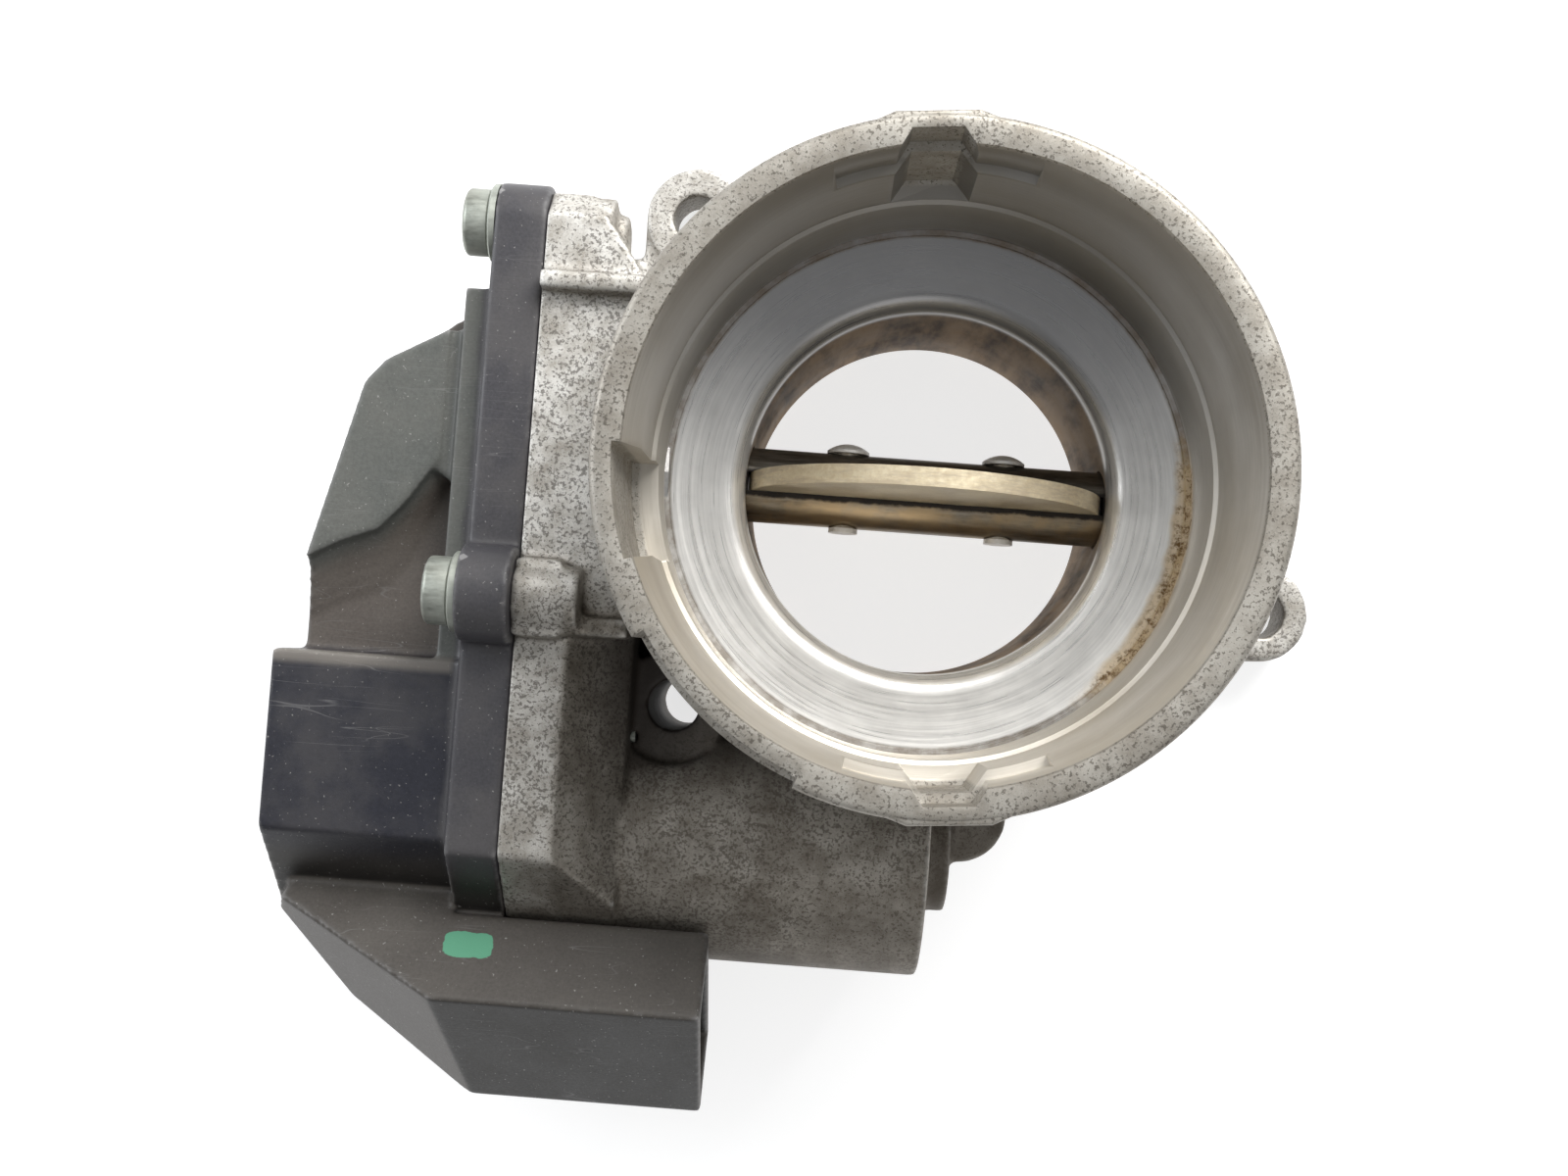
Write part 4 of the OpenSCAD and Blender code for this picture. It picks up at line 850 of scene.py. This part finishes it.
shaftLook = {
    "light": (0.27, 0.25, 0.215), "dark": (0.1, 0.088, 0.072),
    "gold": (0.33, 0.25, 0.15), "soot": (0.014, 0.01, 0.007),
    "nearSide": (0.001, -0.0015), "besidePlate": (0.0029, 0.0012),
}


def makeShaftMaterial():
    # darkened steel, golden where oil has baked, sooty where it meets the plate
    material, tree, shader, vector = newMaterial("shaftSteel")
    low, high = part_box("throttle_shaft")
    axis = (low.z + high.z) / 2
    marks = useGroup(tree, speckle, Vector=vector, Grain=1400.0, Patch_size=120.0, Stretch=(0.15, 1, 1))
    wearAndLight = useGroup(tree, edgeWearAndLight, Vector=vector)
    colour = blendColour(tree, marks["Tone"], shaftLook["dark"], shaftLook["light"])
    parts = splitVector(tree, vector)
    near = mapRange(tree, parts[1], *shaftLook["nearSide"])
    baked = times(tree, times(tree, marks["Patch"], 0.85), near)
    colour = blendColour(tree, baked, colour, shaftLook["gold"])
    beside = maths(tree, "ABSOLUTE", parts[1])
    nearPlate = mapRange(tree, beside, *shaftLook["besidePlate"], smooth=True)
    above = mapRange(tree, parts[2], axis + 0.0015, axis + 0.004)
    ragged = plus(tree, nearPlate, noise(tree, vector, 330, 6, 0.7))
    soot = times(tree, mapRange(tree, ragged, 1.0, 1.3), above)
    # the soot mask also takes dirt and painted shade from the hollows
    soot = maths(tree, "MAXIMUM", soot, times(tree, wearAndLight["Hollow"], 0.6))
    colour = blendColour(tree, soot, colour, shaftLook["soot"])
    rough = plus(tree, mapRange(tree, marks["Tone"], 0, 1, 0.28, 0.42), times(tree, soot, 0.4))
    metal = mapRange(tree, soot, 0, 1, 0.9, 0.1)
    feed(tree, shader, colour, rough, marks["Height"], 0.3, 0.00006, metal)
    return material


plateLook = {
    # edge is partly a painted highlight
    "edge": (0.93, 0.83, 0.62), "edgeDark": (0.64, 0.5, 0.29),
    "face": (0.33, 0.285, 0.2), "faceDark": (0.17, 0.135, 0.085),
    "brown": (0.13, 0.06, 0.018),
}


def makePlateMaterial():
    # aluminium disc: olive varnish on the faces, cream and brown on the turned edge; the cream is partly
    # a painted highlight
    material, tree, shader, vector = newMaterial("plateAluminium")
    look = plateLook
    marks = useGroup(tree, speckle, Vector=vector, Grain=1500.0, Patch_size=100.0)
    wearAndLight = useGroup(tree, edgeWearAndLight, Vector=vector)
    face = blendColour(tree, marks["Patch"], look["face"], look["faceDark"])
    # the edge is what lies near the disc's full radius
    low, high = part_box("throttle_plate")
    middle = (low + high) / 2
    offset = put(tree, "VectorMath", operation="SUBTRACT", in0=vector, in1=tuple(middle))
    parts = splitVector(tree, offset.outputs[0])
    flat = put(tree, "CombineXYZ", X=parts[0], Y=parts[2])
    radius = put(tree, "VectorMath", operation="LENGTH", in0=flat.outputs[0]).outputs["Value"]
    full = (high.x - low.x) / 2
    rim = mapRange(tree, radius, full - 0.0006, full - 0.0002)
    stretched = put(tree, "VectorMath", operation="MULTIPLY", in0=vector, in1=(0.5, 2.4, 0.5))
    blot = mapRange(tree, noise(tree, stretched.outputs[0], 240, 7, 0.7), 0.44, 0.6)
    edge = blendColour(tree, marks["Tone"], look["edgeDark"], look["edge"])
    edge = layOver(tree, edge, look["brown"], blot, 0.75)
    colour = blendColour(tree, rim, face, edge)
    # wear and a painted highlight on standing edges
    colour = layOver(tree, colour, look["edge"], wearAndLight["Worn"], 0.4)
    rough = mapRange(tree, marks["Tone"], 0, 1, 0.3, 0.46)
    rough = plus(tree, rough, times(tree, blot, 0.12))
    metal = mapRange(tree, blot, 0, 1, 0.6, 0.2)
    feed(tree, shader, colour, rough, marks["Height"], 0.25, 0.00005, metal)
    return material


castMaterial = makeCastMaterial()
machinedMaterial = makeMachinedMaterial()


# Housing: the turned collar and throat, and the casting round it

collar = {
    "bore": 25, "mouth": 3, "shoulder": 35, "land": 35.2, "step": 0.6, "socket": 36.5,
    "seat": 35.9, "seatTop": 50.6,
    "rim": 72, "lead": 7, "flare": 1.9, "outer": 42, "coneTop": 37, "body": 30,
    "proud": 0.1,        # stands over the casting by this much
    "pocketTurn": 5, "pocketDepth": 3.8, "lowDepth": 2.6, "lowFloor": 51.0, "ledge": 6.6,
    "crownHalf": 19.3, "crownDepth": 1.3, "flatHalf": 4.45, "baseHalf": 9,
    "keyFrom": 180, "keyTo": 200.7, "keyDepth": 2.9, "keyFloor": 45.5,
    "reliefFrom": 213, "reliefTo": 249, "reliefDepth": 1.6, "reliefHeight": 14,
    "bump": 0.6, "edge": 0.28, "corner": 1.0, "passage": 5.55, "passageLength": 90,
}


def collarProfile():
    c = collar
    out = c["outer"] + c["proud"]
    cone = c["outer"] - c["body"]
    mouth = [(c["bore"] + c["mouth"] - c["mouth"] * math.cos(math.radians(a)),
              c["shoulder"] - c["mouth"] + c["mouth"] * math.sin(math.radians(a)))
             for a in range(0, 91, 9)]
    rounding = [(out - c["corner"] + c["corner"] * math.cos(math.radians(a)),
                 c["rim"] - c["corner"] + c["corner"] * math.sin(math.radians(a)))
                for a in range(90, -1, -15)]
    return [(c["bore"], 0.02), (c["bore"], 12)] + mouth + [
        (c["land"], c["shoulder"]), (c["land"], c["shoulder"] + c["step"]),
        (c["seat"], c["shoulder"] + c["step"]), (c["seat"], c["seatTop"]),
        (c["socket"], c["seatTop"] + 0.2), (c["socket"], c["rim"] - c["lead"]),
        (c["socket"] + c["flare"], c["rim"])] + rounding + [
        (out, c["coneTop"]), (out - cone, c["coneTop"] - cone), (c["body"] - 1.5, c["coneTop"] - cone),
        (c["body"] - 1.5, 0.02)]


def crownCutters(turn):
    c = collar
    top = c["rim"] + 1
    ledge = c["rim"] - c["ledge"]
    deep = c["socket"] + c["pocketDepth"]
    low = c["socket"] + c["lowDepth"]
    inner = c["socket"] - 3
    wide = arc(c["socket"] + c["crownDepth"], turn - c["crownHalf"], turn + c["crownHalf"], 12)
    wide += arc(inner, turn + c["crownHalf"], turn - c["crownHalf"], 6)
    trap = [polar(inner, turn - c["baseHalf"]), polar(c["socket"], turn - c["baseHalf"]),
            polar(deep, turn - c["flatHalf"]), polar(deep, turn + c["flatHalf"]),
            polar(c["socket"], turn + c["baseHalf"]), polar(inner, turn + c["baseHalf"])]
    lower = [polar(inner, turn - c["baseHalf"] + 1), polar(c["socket"], turn - c["baseHalf"] + 1),
             polar(low, turn - c["flatHalf"]), polar(low, turn + c["flatHalf"]),
             polar(c["socket"], turn + c["baseHalf"] - 1), polar(inner, turn + c["baseHalf"] - 1)]
    return [prism(wide, ledge, top, "wideCutter"), prism(trap, ledge, top, "trapCutter"),
            prism(lower, c["lowFloor"], ledge + 1, "lowCutter")]


def keyCutter():
    c = collar
    outline = arc(c["socket"] + c["keyDepth"], c["keyFrom"], c["keyTo"], 8)
    outline += arc(c["socket"] - 3, c["keyTo"], c["keyFrom"], 4)
    return prism(outline, c["keyFloor"], c["rim"] + 1, "keyCutter")


def reliefCutter():
    c = collar
    outline = arc(c["outer"] + 4, c["reliefFrom"], c["reliefTo"], 10)
    outline += arc(c["outer"] - c["reliefDepth"], c["reliefTo"], c["reliefFrom"], 10)
    return prism(outline, c["rim"] - c["reliefHeight"], c["rim"] + 1, "reliefCutter")


def rimBump(turn):
    c = collar
    out = c["outer"] + c["bump"] + c["proud"]
    inner = c["socket"] + c["pocketDepth"] + 0.4
    outline = [polar(inner, turn - 10), polar(c["outer"] - 0.2, turn - 12), polar(out, turn - 6.8),
               polar(out, turn + 6.8), polar(c["outer"] - 0.2, turn + 12), polar(inner, turn + 10)]
    bump = prism(outline, c["coneTop"] + 0.5, c["rim"] - 0.35, "rimBump")
    modify(bump, "BEVEL", width=0.5 * mm, segments=3, limit_method="ANGLE",
           angle_limit=math.radians(40))
    return bump


def makeCollar():
    c = collar
    piece = lathe(collarProfile(), "machined_collar", steps=256)
    turns = (90 + c["pocketTurn"], 270 + c["pocketTurn"])
    for turn in turns:
        carve(piece, rimBump(turn), how="UNION")
    for turn in turns:
        carve(piece, *crownCutters(turn))
    carve(piece, keyCutter(), reliefCutter())
    # passage for the throttle shaft
    low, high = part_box("throttle_shaft")
    shaftHeight = (low.z + high.z) / 2 / mm
    carve(piece, rod(c["passage"], c["passageLength"], (0, 0, shaftHeight), "passage", 64, True))
    cleanUp(piece, 0.000004)
    modify(piece, "BEVEL", width=c["edge"] * mm, segments=2, limit_method="ANGLE",
           angle_limit=math.radians(38), use_clamp_overlap=True)
    smoothShade(piece, 40)
    place(piece, "housing_body", "cast_aluminium", machinedMaterial)
    print("collar:", len(piece.data.polygons), "faces")


casting = {
    "voxel": 0.5, "passes": 7, "triangles": 190000,
    # the cutters that make room for the turned collar, against its own sizes
    "throatIn": 1.0, "socketOut": 4.2, "socketUnder": 1.5, "rimOut": 3, "rimUnder": 1.2,
    "lowest": -1, "highest": 80,
}


def makeCasting():
    c = collar
    piece = copyOf("housing", "housing_casting")
    top = casting["highest"]
    for radius, low in ((c["body"] - casting["throatIn"], casting["lowest"]),
                        (c["socket"] + casting["socketOut"], c["shoulder"] - casting["socketUnder"]),
                        (c["outer"] + casting["rimOut"], c["rim"] - casting["rimUnder"])):
        carve(piece, rod(radius, top - low, (0, 0, (low + top) / 2), "collarCutter"))
    castSkin(piece, casting["voxel"], casting["passes"], casting["triangles"])
    place(piece, "housing_body", "cast_aluminium", castMaterial)
    return piece


coverMaterial = makeCoverMaterial()
finishMaterials = {name: makeFinish(name, *look) for name, look in finishes.items()}
finishMaterials["shaft_steel"] = makeShaftMaterial()
finishMaterials["plate_aluminium"] = makePlateMaterial()
finishMaterials["cast_aluminium"] = castMaterial
finishMaterials["cover_plastic"] = coverMaterial


# nodes whose finish differs from their slot's
ownFinish = {"plate_screws": "plate_screw_steel"}


def dressNodes():
    # every CAD node takes the finish of its own slot
    for entry in frame["record"]["subparts"]:
        node = nodes[entry["node"]]
        finish = ownFinish.get(entry["node"], entry["material_slot"])
        for holder in node.material_slots:
            holder.material = finishMaterials[finish]
    print("nodes dressed:", len(nodes))


dressNodes()
makeCollar()
castingPiece = makeCasting()
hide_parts("housing")


# Gear cover: the moulding's skin, with a ramp from the raised pad down to the bulge

cover = {
    "voxel": 0.4, "passes": 11, "triangles": 150000,
    "padTop": 42.5, "bulgeTop": 38.0, "rampSteps": 7, "rampRun": 9.0, "gapRun": 2.4, "fillTop": 41.9,
    "fill": [(-66.4, 16.0), (-63.0, 16.8), (-63.0, -4.5), (-66.4, -2.4)],
    "pad": [(-65.6, 16.5), (-73.9, 11.8), (-76.5, 8.6), (-82.5, -15.5), (-78.0, -13.0),
            (-73.0, -11.0), (-69.5, -7.0), (-65.6, -1.0)],
}


def rampLayers():
    # layers that step down and out from the pad; the skin's smoothing turns them into a slope
    c = cover
    layers = []
    for step in range(1, c["rampSteps"] + 1):
        share = step / (c["rampSteps"] + 1)
        shift = c["rampRun"] * share ** 1.6
        top = c["padTop"] - (c["padTop"] - c["bulgeTop"]) * share ** 0.7
        outline = []
        for x, y in c["pad"]:
            across = min(shift, c["gapRun"]) if x > -67 else 0
            along = shift if y < -5 else 0
            outline.append((x + across, y - along))
        layers.append(prism(outline, c["bulgeTop"] - 1.5, top, "rampLayer"))
    # and one that closes the slot between the pad and the plateau
    layers.append(prism(c["fill"], c["bulgeTop"] - 1.5, c["fillTop"], "slotFill"))
    return layers


def makeCover():
    c = cover
    piece = copyOf("gear_cover", "moulded_cover")
    join([piece] + rampLayers(), "moulded_cover")
    castSkin(piece, c["voxel"], c["passes"], c["triangles"])
    place(piece, "housing_body", "cover_plastic", coverMaterial, "gear_cover")


makeCover()


# Cover screws: domed heads with a hexagon socket, and their washers

screw = {"dome": 0.7, "domeWide": 1.6, "rim": 0.35, "socket": 2.4, "socketDepth": 2.2, "shank": 1.95,
         "washerEdge": 0.22}


def revolved(profile, centre, name):
    # turned about X at the given place; profile is (radius, x)
    piece = lathe([(r, x) for r, x in profile], name, axis="X", steps=64)
    piece.location = Vector((0, centre.y, centre.z)) * mm
    settle(piece)
    return piece


def makeCoverScrews():
    heads = []
    rings = []
    s = screw
    for low, high in islandBoxes("cover_screws"):
        centre = (low + high) / 2
        headR = (high.y - low.y) / 2
        washerLow, washerHigh = min(
            islandBoxes("screw_washers"), key=lambda pair: ((pair[0] + pair[1]) / 2 - centre).yz.length)
        seat = washerLow.x
        top = low.x
        shank = s["shank"]
        dome = s["dome"]
        flat = headR - dome * s["domeWide"]
        profile = [(0, top + 0.05), (flat, top)]
        profile += [(flat + dome * s["domeWide"] * math.sin(math.radians(a)),
                     top + dome * (1 - math.cos(math.radians(a)))) for a in (25, 50, 70, 90)]
        profile += [(headR, seat - s["rim"]), (headR - s["rim"], seat), (shank, seat),
                    (shank, high.x - 0.6), (shank - 0.5, high.x), (0, high.x)]
        head = revolved(profile, centre, "screwHead")
        middle = (top, centre.y, centre.z)
        carve(head, rod(s["socket"], 2 * s["socketDepth"], middle, "hexagon", 6, True))
        modify(head, "BEVEL", width=0.12 * mm, segments=2, limit_method="ANGLE",
               angle_limit=math.radians(50))
        heads.append(head)
        outer = (washerHigh.y - washerLow.y) / 2
        e = s["washerEdge"]
        ring = revolved([(shank + 0.05, washerLow.x + e), (shank + 0.05 + e, washerLow.x),
                         (outer - e, washerLow.x), (outer, washerLow.x + e),
                         (outer, washerHigh.x - 0.05), (shank + 0.05, washerHigh.x - 0.05)],
                        centre, "washer")
        rings.append(ring)
    for group, name, replaced in ((heads, "cap_screws", "cover_screws"),
                                  (rings, "flat_washers", "screw_washers")):
        joined = join(group, name)
        smoothShade(joined, 32)
        place(joined, "housing_body", "zinc_steel", finishMaterials["zinc_steel"], replaced)


makeCoverScrews()
print("cover and screws made")
